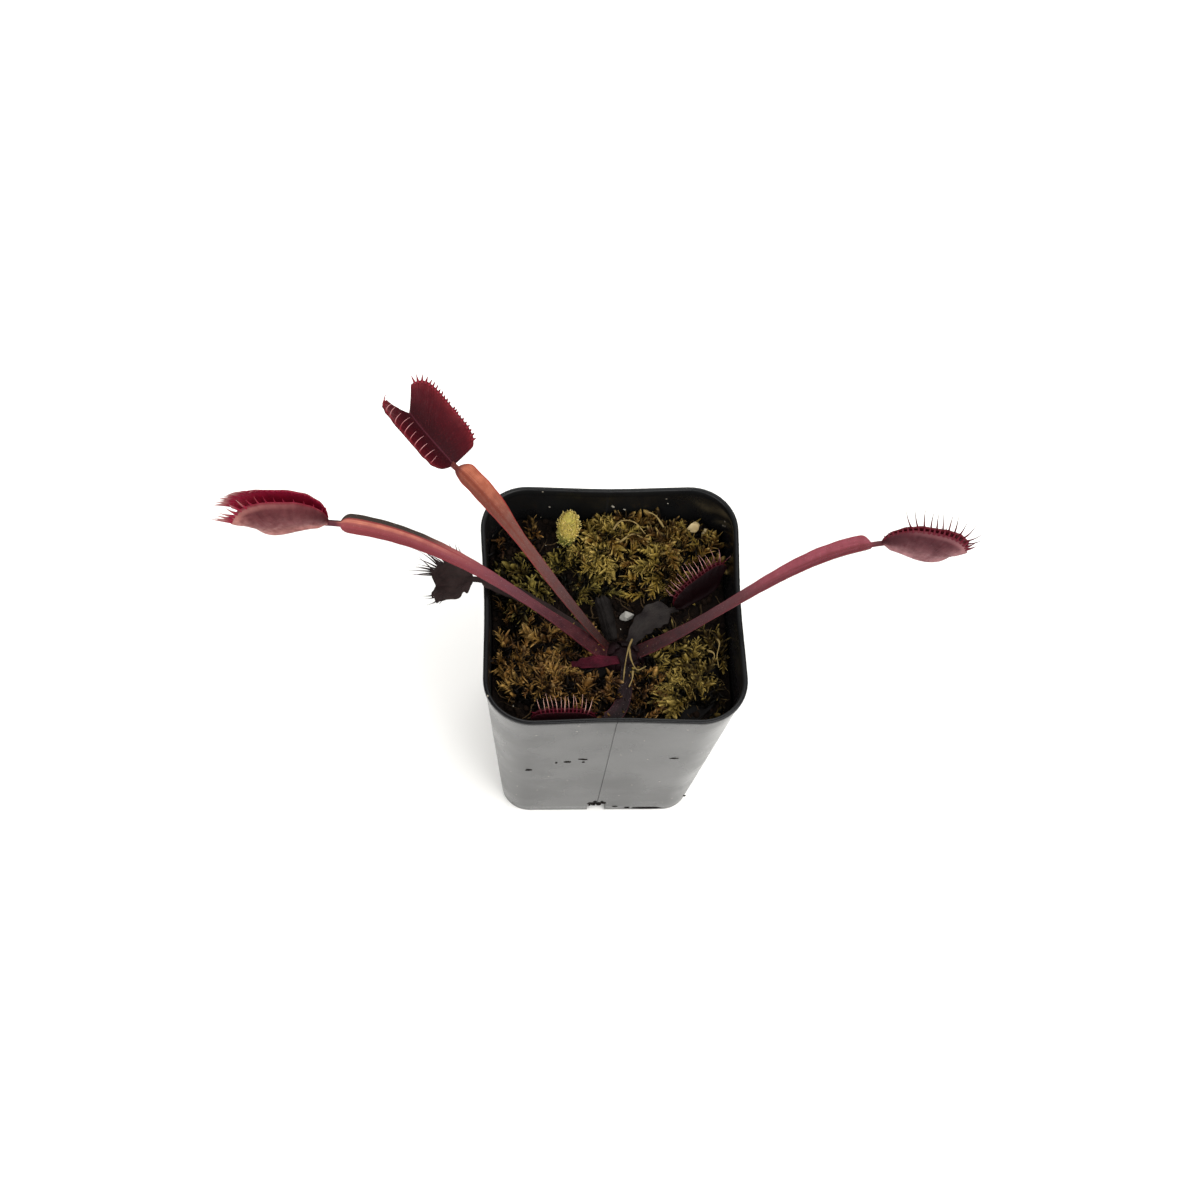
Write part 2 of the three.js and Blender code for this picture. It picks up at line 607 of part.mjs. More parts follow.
let soilBody = rootBall(0);
for (const other of clearances) soilBody = soilBody.subtract(other);
plant.add(mesh('growing_medium', geometryOf(soilBody), COLOURS.growing_medium, 0.95));
plant.add(mesh('crown', geometryOf(crownBody), COLOURS.crown, 0.6));

const headBody = sphagnumHead(0).subtract(soilClearance).intersect(insidePot);
clearances.push(sphagnumHead(GAP));
for (const name of Object.keys(GRAINS)) {
  const body = grain(name, 0).subtract(soilClearance);
  plant.add(mesh(name, geometryOf(body), COLOURS[name], 0.8));
  clearances.push(grain(name, GAP));
}
for (const [i, name] of Object.keys(MOSS).entries()) {
  let body = mossCushion(name, 11 + 7 * i).subtract(soilClearance).intersect(insidePot);
  for (const other of clearances) body = body.subtract(other);
  const colour = COLOURS[name] ?? COLOURS.moss;
  plant.add(mesh(name, geometryOf(body), colour, 0.9));
}
plant.add(mesh('sphagnum_head', geometryOf(headBody), COLOURS.sphagnum_head, 0.85));
plant.add(mesh('withered_stub', geometryOf(stub(0)), COLOURS.withered_stub, 0.85));
plant.add(mesh('young_leaf', geometryOf(youngBody), COLOURS.young_leaf, 0.5));
plant.add(mesh('dead_leaf', geometryOf(deadBody), COLOURS.dead_leaf, 0.8));

for (const [i, [name, leaf]] of Object.entries(LEAVES).entries()) {
  const { curve, at, body } = stalks[name];
  const group = new THREE.Group();
  group.position.copy(at);
  const inner = name === 'inner_right' || name === 'front';
  const colour = inner ? COLOURS.dark_petiole : COLOURS.petiole;
  const stem = geometryOf(body).translate(-at.x, -at.y, -at.z);
  group.add(mesh(`${name}_petiole`, stem, colour, 0.45));
  const trap = mesh(`${name}_trap`, geometryOf(trapSolid(leaf.trap, 31 + i)), COLOURS.trap, 0.45);
  placeTrap(trap, leaf.trap, curve.getPoint(1));
  group.add(trap);
  plant.add(group);
}

export default plant;
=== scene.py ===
"""A potted venus flytrap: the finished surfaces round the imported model.

A square black nursery pot holds a root ball with moss. Three long leaves arch over its rim and end
in toothed traps, two short leaves stay inside, and one withered leaf hangs over the left side.
Sizes are in millimetres and angles in degrees, and both are turned into Blender's units where
a mesh is made. Colours are written as rrggbb.
"""

import logging
import math
from dataclasses import dataclass
from enum import Enum
from functools import cache
from typing import Sequence

import bmesh
import bpy
import numpy as np
from mathutils import Matrix, Vector, noise


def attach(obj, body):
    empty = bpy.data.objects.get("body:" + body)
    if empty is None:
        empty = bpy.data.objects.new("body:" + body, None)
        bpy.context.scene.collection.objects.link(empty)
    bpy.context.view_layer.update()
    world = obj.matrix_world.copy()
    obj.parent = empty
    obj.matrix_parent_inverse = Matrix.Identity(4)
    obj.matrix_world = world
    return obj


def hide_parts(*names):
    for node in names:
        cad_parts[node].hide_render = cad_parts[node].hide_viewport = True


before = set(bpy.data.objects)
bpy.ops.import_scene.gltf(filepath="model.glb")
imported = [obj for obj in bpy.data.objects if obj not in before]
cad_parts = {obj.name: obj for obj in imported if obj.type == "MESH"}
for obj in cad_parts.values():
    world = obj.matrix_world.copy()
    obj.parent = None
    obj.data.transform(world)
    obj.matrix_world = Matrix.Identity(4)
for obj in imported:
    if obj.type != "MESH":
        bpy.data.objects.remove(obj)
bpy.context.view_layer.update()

LOG = logging.getLogger("potted_flytrap")
MM = 0.001
BODY = "root"
TURN = 2 * math.pi
GOLDEN_ANGLE = math.pi * (3 - math.sqrt(5))
SOIL_LEVEL = 63.2
GAP = 0.3

Colour = tuple[float, float, float, float]
Triple = tuple[float, float, float]
Number = np.ndarray | float
Piece = bpy.types.Object
Socket = bpy.types.NodeSocket


# ---- numbers ----

def mix(low: float, high: float, share: float) -> float:
    """Returns the value that lies share of the way from low to high."""
    return low + (high - low) * share


def smooth(value: Number) -> Number:
    """Returns the soft step from 0 to 1 of a value that is held between 0 and 1."""
    held = np.clip(value, 0.0, 1.0)
    return held * held * (3 - 2 * held)


def through(values: Triple, s: Number) -> Number:
    """Returns the curve through a start, a middle and an end value.

    Args:
        values: the values at 0, 0.5 and 1.
        s: places along the curve.

    Returns:
        The value of the quadratic at each place.
    """
    start, middle, end = values
    return start * (1 - s) * (1 - 2 * s) + middle * 4 * s * (1 - s) + end * s * (2 * s - 1)


def unit(vectors: np.ndarray) -> np.ndarray:
    """Returns the vectors at length 1."""
    return vectors / np.maximum(np.linalg.norm(vectors, axis=-1, keepdims=True), 1e-9)


def powered(wave: np.ndarray, power: Number) -> np.ndarray:
    """Returns values raised to a power, with their signs kept."""
    return np.sign(wave) * np.abs(wave) ** power


def round_angles(count: int) -> np.ndarray:
    """Returns angles spaced evenly round a circle."""
    return np.linspace(0, TURN, count, endpoint=False)


def colour(code: str) -> Colour:
    """Returns a colour as the linear values that a shader takes."""
    parts = [int(code[i:i + 2], 16) / 255 for i in (0, 2, 4)]
    red, green, blue = ((p / 12.92) if p < 0.04045 else ((p + 0.055) / 1.055) ** 2.4 for p in parts)
    return (red, green, blue, 1.0)


def wobble(points: np.ndarray, pitch: float, seed: float) -> np.ndarray:
    """Returns smooth noise from -1 to 1.

    Args:
        points: places, one to a row.
        pitch: the size of one lump of the noise.
        seed: moves the noise, so that two pieces differ.

    Returns:
        One number for each place.
    """
    shift = Vector((seed, 1.7 * seed, -0.6 * seed))
    return np.array([noise.noise(Vector(p) / pitch + shift) for p in points])


def ground(x: Number, y: Number) -> Number:
    """Returns the height of the soil at a point of the plan."""
    swell = 0.8 * np.sin(0.29 * x + 0.8) * np.cos(0.25 * y - 0.4)
    return SOIL_LEVEL + swell + 0.35 * np.sin(0.8 * x - 0.6 * y)


def soil_under(points: np.ndarray) -> np.ndarray:
    """Returns the height of the soil below each point."""
    return ground(points[:, 0], points[:, 1])


# ---- meshes ----

def link(name: str, mesh: bpy.types.Mesh) -> Piece:
    """Returns a new object of the scene that shows the mesh."""
    piece = bpy.data.objects.new(name, mesh)
    bpy.context.scene.collection.objects.link(piece)
    return piece


def modelled(made: bmesh.types.BMesh, mesh: bpy.types.Mesh) -> Piece:
    """Returns a smooth object, named as the mesh, with what a bmesh holds, and frees the bmesh."""
    made.to_mesh(mesh)
    made.free()
    mesh.shade_smooth()
    return link(mesh.name, mesh)


def shell(name: str, points: np.ndarray, faces: Sequence[Sequence[int]]) -> Piece:
    """Makes a closed, smooth piece with its faces pointing out.

    Args:
        name: the piece's name.
        points: the corners.
        faces: the corners of each face.

    Returns:
        The new object.
    """
    mesh = bpy.data.meshes.new(name)
    mesh.from_pydata((points * MM).tolist(), [], [list(face) for face in faces])
    mesh.validate()
    turned = bmesh.new()
    turned.from_mesh(mesh)
    bmesh.ops.recalc_face_normals(turned, faces=turned.faces)
    return modelled(turned, mesh)


def ring_faces(rows: int, columns: int) -> list[tuple[int, ...]]:
    """Returns the faces between rows of points that each close on themselves."""
    return [
        (row * columns + k, row * columns + (k + 1) % columns,
         (row + 1) * columns + (k + 1) % columns, (row + 1) * columns + k)
        for row in range(rows - 1) for k in range(columns)
    ]


def loft(name: str, rings: Sequence[np.ndarray]) -> Piece:
    """Makes a closed piece from rings, each end closed by a fan to its middle.

    Args:
        name: the piece's name.
        rings: the points of each ring.

    Returns:
        The new object, whose points are the rings' in order and then the two middles.
    """
    rows, columns = len(rings), len(rings[0])
    top, end = (rows - 1) * columns, rows * columns
    faces = ring_faces(rows, columns)
    faces += [(end, (k + 1) % columns, k) for k in range(columns)]
    faces += [(end + 1, top + k, top + (k + 1) % columns) for k in range(columns)]
    return shell(name, np.vstack([*rings, rings[0].mean(0), rings[-1].mean(0)]), faces)


def sheet(name: str, rows: Sequence[np.ndarray]) -> Piece:
    """Makes a closed sheet from rows that run out on one face and back on the other.

    Args:
        name: the piece's name.
        rows: the points of each row.

    Returns:
        The new object, whose points are the rows' in order.
    """
    count, columns = len(rows), len(rows[0])
    top = (count - 1) * columns
    faces = ring_faces(count, columns)
    for k in range(columns // 2 - 1):
        edge = (k, k + 1, columns - 2 - k, columns - 1 - k)
        faces += [edge[::-1], tuple(top + corner for corner in edge)]
    return shell(name, np.vstack(rows), faces)


def corners_of(piece: Piece) -> np.ndarray:
    """Returns a piece's points, one to a row."""
    return np.array([vertex.co for vertex in piece.data.vertices]) / MM


def store(piece: Piece, name: str, values: np.ndarray) -> None:
    """Writes one number for each point of a piece as a named attribute."""
    attribute = piece.data.attributes.new(name, "FLOAT", "POINT")
    attribute.data.foreach_set("value", np.asarray(values, np.float32))


def store_map(piece: Piece, places: np.ndarray) -> None:
    """Writes a flat place for each point of a piece as its UV map, named growth."""
    layer = piece.data.uv_layers.new(name="growth")
    corners = np.zeros(len(piece.data.loops), np.int32)
    piece.data.loops.foreach_get("vertex_index", corners)
    layer.data.foreach_set("uv", np.asarray(places, np.float32)[corners].ravel())


def polylines(name: str, lines: Sequence[np.ndarray], **values: Sequence[np.ndarray]) -> Piece:
    """Makes an object of loose edges, the guides that a Geometry Nodes tree follows.

    Args:
        name: the object's name.
        lines: the points of each guide.
        values: for each attribute's name, its numbers along each guide.

    Returns:
        The new object.
    """
    edges, start = [], 0
    for line in lines:
        edges += [(start + i, start + i + 1) for i in range(len(line) - 1)]
        start += len(line)
    mesh = bpy.data.meshes.new(name)
    mesh.from_pydata((np.vstack(lines) * MM).tolist(), edges, [])
    piece = link(name, mesh)
    for key, rows in values.items():
        store(piece, key, np.concatenate(rows))
    return piece


def settle(piece: Piece, name: str) -> Piece:
    """Turns a piece with live modifiers into a plain mesh.

    Args:
        piece: the object whose modifiers are used up.
        name: the name of the result.

    Returns:
        The object with the evaluated mesh and no modifier.
    """
    graph = bpy.context.evaluated_depsgraph_get()
    mesh = bpy.data.meshes.new_from_object(piece.evaluated_get(graph), depsgraph=graph)
    piece.modifiers.clear()
    piece.data = mesh
    piece.name = mesh.name = name
    mesh.shade_smooth()
    return piece


def join(pieces: Sequence[Piece], name: str) -> Piece:
    """Joins plain meshes into one object of that name."""
    with bpy.context.temp_override(active_object=pieces[0], selected_editable_objects=list(pieces)):
        bpy.ops.object.join()
    pieces[0].name = pieces[0].data.name = name
    return pieces[0]


def finished(piece: Piece, skin: "Skin | None", slot: str, *nodes: str) -> None:
    """Gives a piece its finish, parents it to the body's empty and hides the imported parts that it stands
    for.

    Args:
        piece: the plain mesh.
        skin: its finish, or None where the mesh has its material already.
        slot: its slot; not used.
        nodes: the nodes that it stands for.
    """
    if skin:
        piece.data.materials.clear()
        piece.data.materials.append(skin.material())
    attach(piece, BODY)
    if nodes:
        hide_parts(*nodes)
    LOG.info("%s: %d faces, stands for %s", piece.name, len(piece.data.polygons), nodes or "no node")


# ---- node trees ----

class Tree:
    """Short calls that add and join the nodes of one tree."""

    def __init__(self, nodes: bpy.types.NodeTree) -> None:
        """Keeps the tree that the calls work on."""
        self.nodes = nodes

    def feed(self, socket: Socket, value: object) -> None:
        """Links a socket to another one, or sets its value."""
        if isinstance(value, Socket):
            self.nodes.links.new(value, socket)
        else:
            written = isinstance(value, str) and socket.type == "RGBA"
            socket.default_value = colour(value) if written else value

    def add(self, kind: str, inputs: dict | None = None, **settings: object) -> bpy.types.Node:
        """Adds a node.

        Args:
            kind: the node's type.
            inputs: what feeds each socket, by number, name or, with an underscore, identifier.
            settings: properties of the node, set before its sockets.

        Returns:
            The new node.
        """
        node = self.nodes.nodes.new(kind)
        for key, value in settings.items():
            setattr(node, key, value)
        for key, value in (inputs or {}).items():
            if isinstance(key, str) and "_" in key:
                key = [socket.identifier for socket in node.inputs].index(key)
            self.feed(node.inputs[key], value)
        return node

    def out(self, kind: str, inputs: dict | None = None, **settings: object) -> Socket:
        """Adds a node and returns the first of its outputs that are in use."""
        return next(s for s in self.add(kind, inputs, **settings).outputs if s.enabled)

    def maths(self, operation: str, *values: object) -> Socket:
        """Returns the result of a Math node on the values."""
        return self.out("ShaderNodeMath", dict(enumerate(values)), operation=operation)

    def times(self, product: object, *factors: object) -> Socket:
        """Returns the product of two or more values."""
        for factor in factors:
            product = self.maths("MULTIPLY", product, factor)
        return product

    def vector(self, operation: str, *values: object) -> Socket:
        """Returns the vector result of a Vector Math node on the values."""
        return self.out("ShaderNodeVectorMath", dict(enumerate(values)), operation=operation)

    def scaled(self, vector: object, factor: object) -> Socket:
        """Returns a vector times a number."""
        return self.out("ShaderNodeVectorMath", {0: vector, "Scale": factor}, operation="SCALE")

    def combine(self, *numbers: object) -> Socket:
        """Returns the vector of three numbers."""
        return self.out("ShaderNodeCombineXYZ", dict(enumerate(numbers)))

    def split(self, vector: object) -> Sequence[Socket]:
        """Returns the three numbers of a vector."""
        return self.add("ShaderNodeSeparateXYZ", {0: vector}).outputs

    def span(self, value: object, low: float, high: float, *to: float) -> Socket:
        """Returns a value carried from low..high to 0..1 or the range to, smoothly and held."""
        given = dict(enumerate((value, low, high, *(to or (0.0, 1.0)))))
        return self.out("ShaderNodeMapRange", given, interpolation_type="SMOOTHSTEP")

    def blend(self, share: object, low: object, high: object) -> Socket:
        """Returns a colour blended from low to high by share."""
        given = {"Factor_Float": share, "A_Color": low, "B_Color": high}
        node = self.add("ShaderNodeMix", given, data_type="RGBA")
        return next(s for s in node.outputs if s.identifier == "Result_Color")

    def layered(self, base: object, *layers: tuple[object, object]) -> Socket:
        """Returns a base colour with layers over it, each given as its share and its colour."""
        for share, shade in layers:
            base = self.blend(share, base, shade)
        return base

    def ramp(self, value: object, places: Sequence[float], codes: Sequence[str]) -> Socket:
        """Returns the colour at a value on a ramp.

        Args:
            value: the number that picks the colour.
            places: where each colour stands, in rising order.
            codes: the colours.

        Returns:
            The ramp's colour.
        """
        node = self.add("ShaderNodeValToRGB", {"Fac": value})
        elements = node.color_ramp.elements
        elements[0].position, elements[1].position = places[0], places[-1]
        for place in places[1:-1]:
            elements.new(place)
        for element, code in zip(elements, codes):
            element.color = colour(code)
        return node.outputs["Color"]


GEOMETRY, SKIN, PLACES = "NodeSocketGeometry", "NodeSocketMaterial", "NodeSocketVector"
SOCKET_OF = {float: "NodeSocketFloat", int: "NodeSocketInt", bool: "NodeSocketBool"}


class GroupKind(Enum):
    """What a node group puts out: its tree type, its output's name and its output's type."""

    FORM = ("GeometryNodeTree", "Geometry", GEOMETRY)
    MASK = ("ShaderNodeTree", "Mask", "NodeSocketFloat")


class GroupTree(Tree):
    """A node group under construction, with named inputs and one output."""

    def __init__(self, name: str, kind: GroupKind, inputs: dict[str, object]) -> None:
        """Starts a group.

        Args:
            name: the group's name.
            kind: what it puts out.
            inputs: each input's name with its default value, or its type where it has none.
        """
        tree_type, result, result_type = kind.value
        super().__init__(bpy.data.node_groups.new(name, tree_type))
        face = self.nodes.interface
        for title, value in inputs.items():
            bare = isinstance(value, str)
            kind_of_socket = value if bare else SOCKET_OF[type(value)]
            socket = face.new_socket(title, in_out="INPUT", socket_type=kind_of_socket)
            if not bare:
                socket.default_value = value
        face.new_socket(result, in_out="OUTPUT", socket_type=result_type)
        self.given = self.add("NodeGroupInput").outputs
        self.result = self.add("NodeGroupOutput").inputs

    def ended(self, value: object) -> "GroupTree":
        """Ends the tree with what it puts out."""
        self.feed(self.result[0], value)
        return self

    def contrasted(self, vector: object, scale: object, detail: object) -> "GroupTree":
        """Ends the tree with the mask of noise at a vector, by its Contrast input."""
        grain = self.out("ShaderNodeTexNoise", {"Vector": vector, "Scale": scale, "Detail": detail})
        centred = self.maths("SUBTRACT", grain, 0.5)
        strong = self.maths("MULTIPLY_ADD", centred, self.given["Contrast"], 0.5)
        return self.ended(self.out("ShaderNodeClamp", {0: strong}))

    def attribute(self, name: str) -> Socket:
        """Returns the field of a named number."""
        return self.out("GeometryNodeInputNamedAttribute", {"Name": name})

    def chance(self, low: object, high: object, step: int) -> Socket:
        """Returns a random number for each element, by the tree's Seed and a step of its own."""
        given = {"Min_001": low, "Max_001": high, "Seed": self.maths("ADD", self.given["Seed"], step)}
        return self.out("FunctionNodeRandomValue", given, data_type="FLOAT")

    def aimed(self, vector: object, lean: object, spin: object) -> Socket:
        """Returns the rotation that lines Z up with a vector, then leans and spins about itself."""
        lined = self.out("FunctionNodeAlignRotationToVector", {"Vector": vector}, axis="Z")
        turn = {"Rotation": lined, "Rotate By": self.combine(lean, 0.0, spin)}
        return self.out("FunctionNodeRotateRotation", turn, rotation_space="LOCAL")

    def tube(self, curve: object, sides: object, radius: object) -> Socket:
        """Returns a closed tube of that many sides along a curve."""
        circle = self.out("GeometryNodeCurvePrimitiveCircle", {"Resolution": sides, "Radius": 1.0})
        return self.out("GeometryNodeCurveToMesh", {
            "Curve": curve, "Profile Curve": circle, "Scale": radius, "Fill Caps": True,
        })

    def leaflet(self, length: object, width: object, thickness: object, cup: object) -> Socket:
        """Returns one leaflet of the given sizes."""
        return self.out("GeometryNodeGroup", {
            "Length": length, "Width": width, "Thickness": thickness, "Cup": cup,
        }, node_tree=leaflet_form().nodes)

    def planted(self, points: object, form: object, rotation: object, scale: object) -> Socket:
        """Returns instances of a form on points."""
        return self.out("GeometryNodeInstanceOnPoints", {
            "Points": points, "Instance": form, "Rotation": rotation, "Scale": scale,
        })

    def noted(self, geometry: object, name: str, value: object, domain: str = "POINT") -> Socket:
        """Returns the geometry with a number stored under a name."""
        given = {"Geometry": geometry, "Name": name, "Value": value}
        return self.out("GeometryNodeStoreNamedAttribute", given, data_type="FLOAT", domain=domain)

    def dressed(self, *parts: object) -> "GroupTree":
        """Ends the tree: its parts are joined, realised and given the Material input."""
        both = self.add("GeometryNodeJoinGeometry")
        for part in parts:
            self.feed(both.inputs[0], part)
        real = self.out("GeometryNodeRealizeInstances", {"Geometry": both.outputs[0]})
        given = {"Geometry": real, "Material": self.given["Material"]}
        return self.ended(self.out("GeometryNodeSetMaterial", given))

    def run(self, piece: Piece, name: str, skin: "Skin", **values: object) -> Piece:
        """Runs the tree on a piece and keeps the result as a plain mesh.

        Args:
            piece: the object that gives the geometry, and becomes the result.
            name: the result's name.
            skin: the result's finish.
            values: the other inputs, with an underscore for each space of their names.

        Returns:
            The object with its new mesh.
        """
        modifier = piece.modifiers.new(self.nodes.name, "NODES")
        modifier.node_group = self.nodes
        sockets = {
            item.name.lower().replace(" ", "_"): item.identifier
            for item in self.nodes.interface.items_tree if item.in_out == "INPUT"
        }
        for key, value in {**values, "material": skin.material()}.items():
            modifier[sockets[key]] = value
        return settle(piece, name)


# ---- Geometry Nodes ----

@cache
def tapered_tubes() -> GroupTree:
    """Returns the tree that turns guides into round tapering tubes, such as teeth and fibres.

    The guides carry girth, the radius in metres at each point.
    """
    inputs = {"Geometry": GEOMETRY, "Sides": 6, "Material": SKIN}
    tree = GroupTree("tapered_tubes", GroupKind.FORM, inputs)
    curve = tree.out("GeometryNodeMeshToCurve", {"Mesh": tree.given["Geometry"]})
    return tree.dressed(tree.tube(curve, tree.given["Sides"], tree.attribute("girth")))


@cache
def leaflet_form() -> GroupTree:
    """Returns the group that makes one small cupped leaf, with its foot at the origin, along +Z.

    Its points carry blade, which runs from 0 at the foot to 1 at the tip.
    """
    tree = GroupTree("leaflet_form", GroupKind.FORM, {
        "Length": 1.0 * MM, "Width": 0.5 * MM, "Thickness": 0.15 * MM, "Cup": 0.3 * MM,
    })
    given = tree.given
    ball = tree.out("GeometryNodeMeshUVSphere", {"Segments": 4, "Rings": 4, "Radius": 1.0})
    x, y, z = tree.split(tree.out("GeometryNodeInputPosition"))
    along = tree.maths("MULTIPLY_ADD", z, 0.5, 0.5)
    point = tree.maths("MULTIPLY_ADD", along, -0.45, 0.75)
    cupped = tree.times(along, along, given["Cup"])
    thick = tree.maths("MULTIPLY_ADD", y, tree.times(given["Thickness"], 0.5), cupped)
    place = tree.combine(tree.times(x, point, given["Width"]), thick, tree.times(along, given["Length"]))
    noted = tree.noted(ball, "blade", along)
    return tree.ended(tree.out("GeometryNodeSetPosition", {"Geometry": noted, "Position": place}))


@cache
def leafy_strands() -> GroupTree:
    """Returns the tree that grows leaflets in a spiral along guides, round a thin stem.

    The guides carry girth, the leaflets' relative size.
    """
    tree = GroupTree("leafy_strands", GroupKind.FORM, {
        "Geometry": GEOMETRY, "Spacing": 0.4 * MM, "Leaflet Length": 1.3 * MM,
        "Leaflet Width": 0.6 * MM, "Tilt": 0.8, "Stem": 0.2 * MM, "Seed": 1, "Material": SKIN,
    })
    given, girth = tree.given, tree.attribute("girth")
    length, width = given["Leaflet Length"], given["Leaflet Width"]
    curve = tree.out("GeometryNodeMeshToCurve", {"Mesh": given["Geometry"]})
    spaced = {"Curve": curve, "Length": given["Spacing"]}
    even = tree.out("GeometryNodeResampleCurve", spaced, mode="LENGTH")
    leaf = tree.leaflet(length, width, tree.times(width, 0.22), tree.times(length, 0.25))
    lean = tree.maths("ADD", given["Tilt"], tree.chance(-0.25, 0.25, 0))
    spiral = tree.times(tree.out("GeometryNodeInputIndex"), GOLDEN_ANGLE)
    turned = tree.aimed(tree.out("GeometryNodeInputTangent"), tree.times(lean, -1.0), spiral)
    size = tree.times(girth, tree.chance(0.65, 1.3, 7))
    stem = tree.tube(even, 4, tree.times(girth, given["Stem"]))
    return tree.dressed(stem, tree.planted(even, leaf, turned, size))


class Form(Enum):
    """What a scattering tree strews over a surface."""

    CRUMB = "crumb"
    LEAFLET = "leaflet"


@cache
def scattering(form: Form) -> GroupTree:
    """Returns the tree that strews small pieces over a surface.

    Args:
        form: lumps of peat or grit, or small leaves.

    Returns:
        The tree. Its pieces carry shade, a random number of their own.
    """
    tree = GroupTree(f"strewn_{form.value}s", GroupKind.FORM, {
        "Geometry": GEOMETRY, "Density": 1e5, "Smallest": 0.3 * MM, "Largest": 1.0 * MM,
        "Roughness": 0.4 * MM, "Upright": 0.5, "Seed": 1, "Keep Surface": False, "Material": SKIN,
    })
    given = tree.given
    points, normals = tree.add("GeometryNodeDistributePointsOnFaces", {
        "Mesh": given["Geometry"], "Density": given["Density"], "Seed": given["Seed"],
    }).outputs[:2]
    size = tree.chance(given["Smallest"], given["Largest"], 3)
    spin = tree.chance(0.0, TURN, 5)
    if form is Form.CRUMB:
        single = tree.out("GeometryNodeMeshIcoSphere", {"Radius": 0.5, "Subdivisions": 2})
        scale = tree.combine(size, size, tree.times(size, tree.chance(0.5, 1.0, 9)))
        turn = tree.combine(spin, tree.times(spin, 1.7), spin)
    else:
        single, scale = tree.leaflet(1.0, 0.45, 0.1, 0.35), size
        raised = tree.vector("ADD", normals, tree.combine(0.0, 0.0, given["Upright"]))
        turn = tree.aimed(raised, tree.chance(-0.9, 0.9, 11), spin)
    pieces = tree.planted(points, single, turn, scale)
    shaded = tree.noted(pieces, "shade", tree.chance(0.0, 1.0, 13), "INSTANCE")
    real = tree.out("GeometryNodeRealizeInstances", {"Geometry": shaded})
    place = tree.scaled(tree.out("GeometryNodeInputPosition"), 900.0)
    grain = tree.add("ShaderNodeTexNoise", {"Vector": place, "Scale": 1.0}).outputs["Color"]
    push = tree.scaled(tree.vector("SUBTRACT", grain, (0.5, 0.5, 0.5)), given["Roughness"])
    rough = tree.out("GeometryNodeSetPosition", {"Geometry": real, "Offset": push})
    chosen = {"Switch": given["Keep Surface"], "True": given["Geometry"]}
    return tree.dressed(tree.out("GeometryNodeSwitch", chosen, input_type="GEOMETRY"), rough)


# ---- shader groups ----

@cache
def mottling() -> GroupTree:
    """Returns the group for soft blotches: a mask from 0 to 1 with a chosen contrast."""
    tree = GroupTree("mottling", GroupKind.MASK, {
        "Vector": PLACES, "Scale": 300.0, "Detail": 4.0, "Contrast": 2.0,
    })
    return tree.contrasted(*(tree.given[name] for name in ("Vector", "Scale", "Detail")))


@cache
def streaks() -> GroupTree:
    """Returns the group for fine lines that run along a leaf: a mask from 0 to 1.

    Its Vector is the leaf's own map, along the leaf in X and across it in Y.
    """
    tree = GroupTree("streaks", GroupKind.MASK, {
        "Vector": PLACES, "Along": 6.0, "Across": 40.0, "Contrast": 2.0,
    })
    stretch = tree.combine(tree.given["Along"], tree.given["Across"], 1.0)
    return tree.contrasted(tree.vector("MULTIPLY", tree.given["Vector"], stretch), 1.0, 3.0)


@cache
def specks() -> GroupTree:
    """Returns the group for small round dots, such as glands, hair roots and dust."""
    tree = GroupTree("specks", GroupKind.MASK, {
        "Vector": PLACES, "Scale": 1500.0, "Size": 0.25, "Share": 0.6,
    })
    given = tree.given
    cells = tree.add("ShaderNodeTexVoronoi", {"Vector": given["Vector"], "Scale": given["Scale"]})
    near = tree.maths("LESS_THAN", cells.outputs["Distance"], given["Size"])
    number = tree.out("ShaderNodeSeparateColor", {0: cells.outputs["Color"]})
    return tree.ended(tree.times(near, tree.maths("LESS_THAN", number, given["Share"])))


# ---- finishes ----

class Finish(Tree):
    """One material under construction, round its Principled BSDF."""

    def __init__(self, name: str) -> None:
        """Starts the material with an empty tree and its surface shader."""
        self.material = bpy.data.materials.new(name)
        self.material.use_nodes = True
        self.material.node_tree.nodes.clear()
        super().__init__(self.material.node_tree)
        self.surface = self.add("ShaderNodeBsdfPrincipled")
        self.add("ShaderNodeOutputMaterial", {"Surface": self.surface.outputs[0]})
        self.place = self.add("ShaderNodeTexCoord").outputs["Object"]

    def set(self, **values: object) -> None:
        """Sets or feeds the shader's sockets, with an underscore for each space of their names."""
        for key, value in values.items():
            self.feed(self.surface.inputs[key.replace("_", " ")], value)

    def effect(self, group: GroupTree, **values: object) -> Socket:
        """Returns the mask of a shader group with the given inputs."""
        return self.out("ShaderNodeGroup", values, node_tree=group.nodes)

    def mottled(self, scale: float, contrast: float, detail: float = 4.0) -> Socket:
        """Returns a mask of soft blotches."""
        return self.effect(mottling(), Vector=self.place, Scale=scale, Detail=detail, Contrast=contrast)

    def streaked(self, along: float, across: float, contrast: float) -> Socket:
        """Returns a mask of lines that follow the piece's own map."""
        growth = self.growth()
        return self.effect(streaks(), Vector=growth, Along=along, Across=across, Contrast=contrast)

    def specked(self, scale: float, size: float, share: float) -> Socket:
        """Returns a mask of dots."""
        return self.effect(specks(), Vector=self.place, Scale=scale, Size=size, Share=share)

    def number(self, name: str) -> Socket:
        """Returns the named number that the piece's points carry."""
        return self.add("ShaderNodeAttribute", attribute_name=name).outputs["Fac"]

    def growth(self) -> Socket:
        """Returns the piece's own map."""
        return self.out("ShaderNodeUVMap", uv_map="growth")

    def flesh(self, weight: float, radius: Triple, depth: float) -> None:
        """Lets light into the surface, to a depth and by red, green and blue."""
        self.set(Subsurface_Weight=weight, Subsurface_Radius=radius, Subsurface_Scale=depth * MM)

    def relief(self, height: Socket, depth: float, strength: float) -> None:
        """Adds a bump of that depth to the surface."""
        given = {"Strength": strength, "Distance": depth * MM, "Height": height}
        self.set(Normal=self.out("ShaderNodeBump", given))


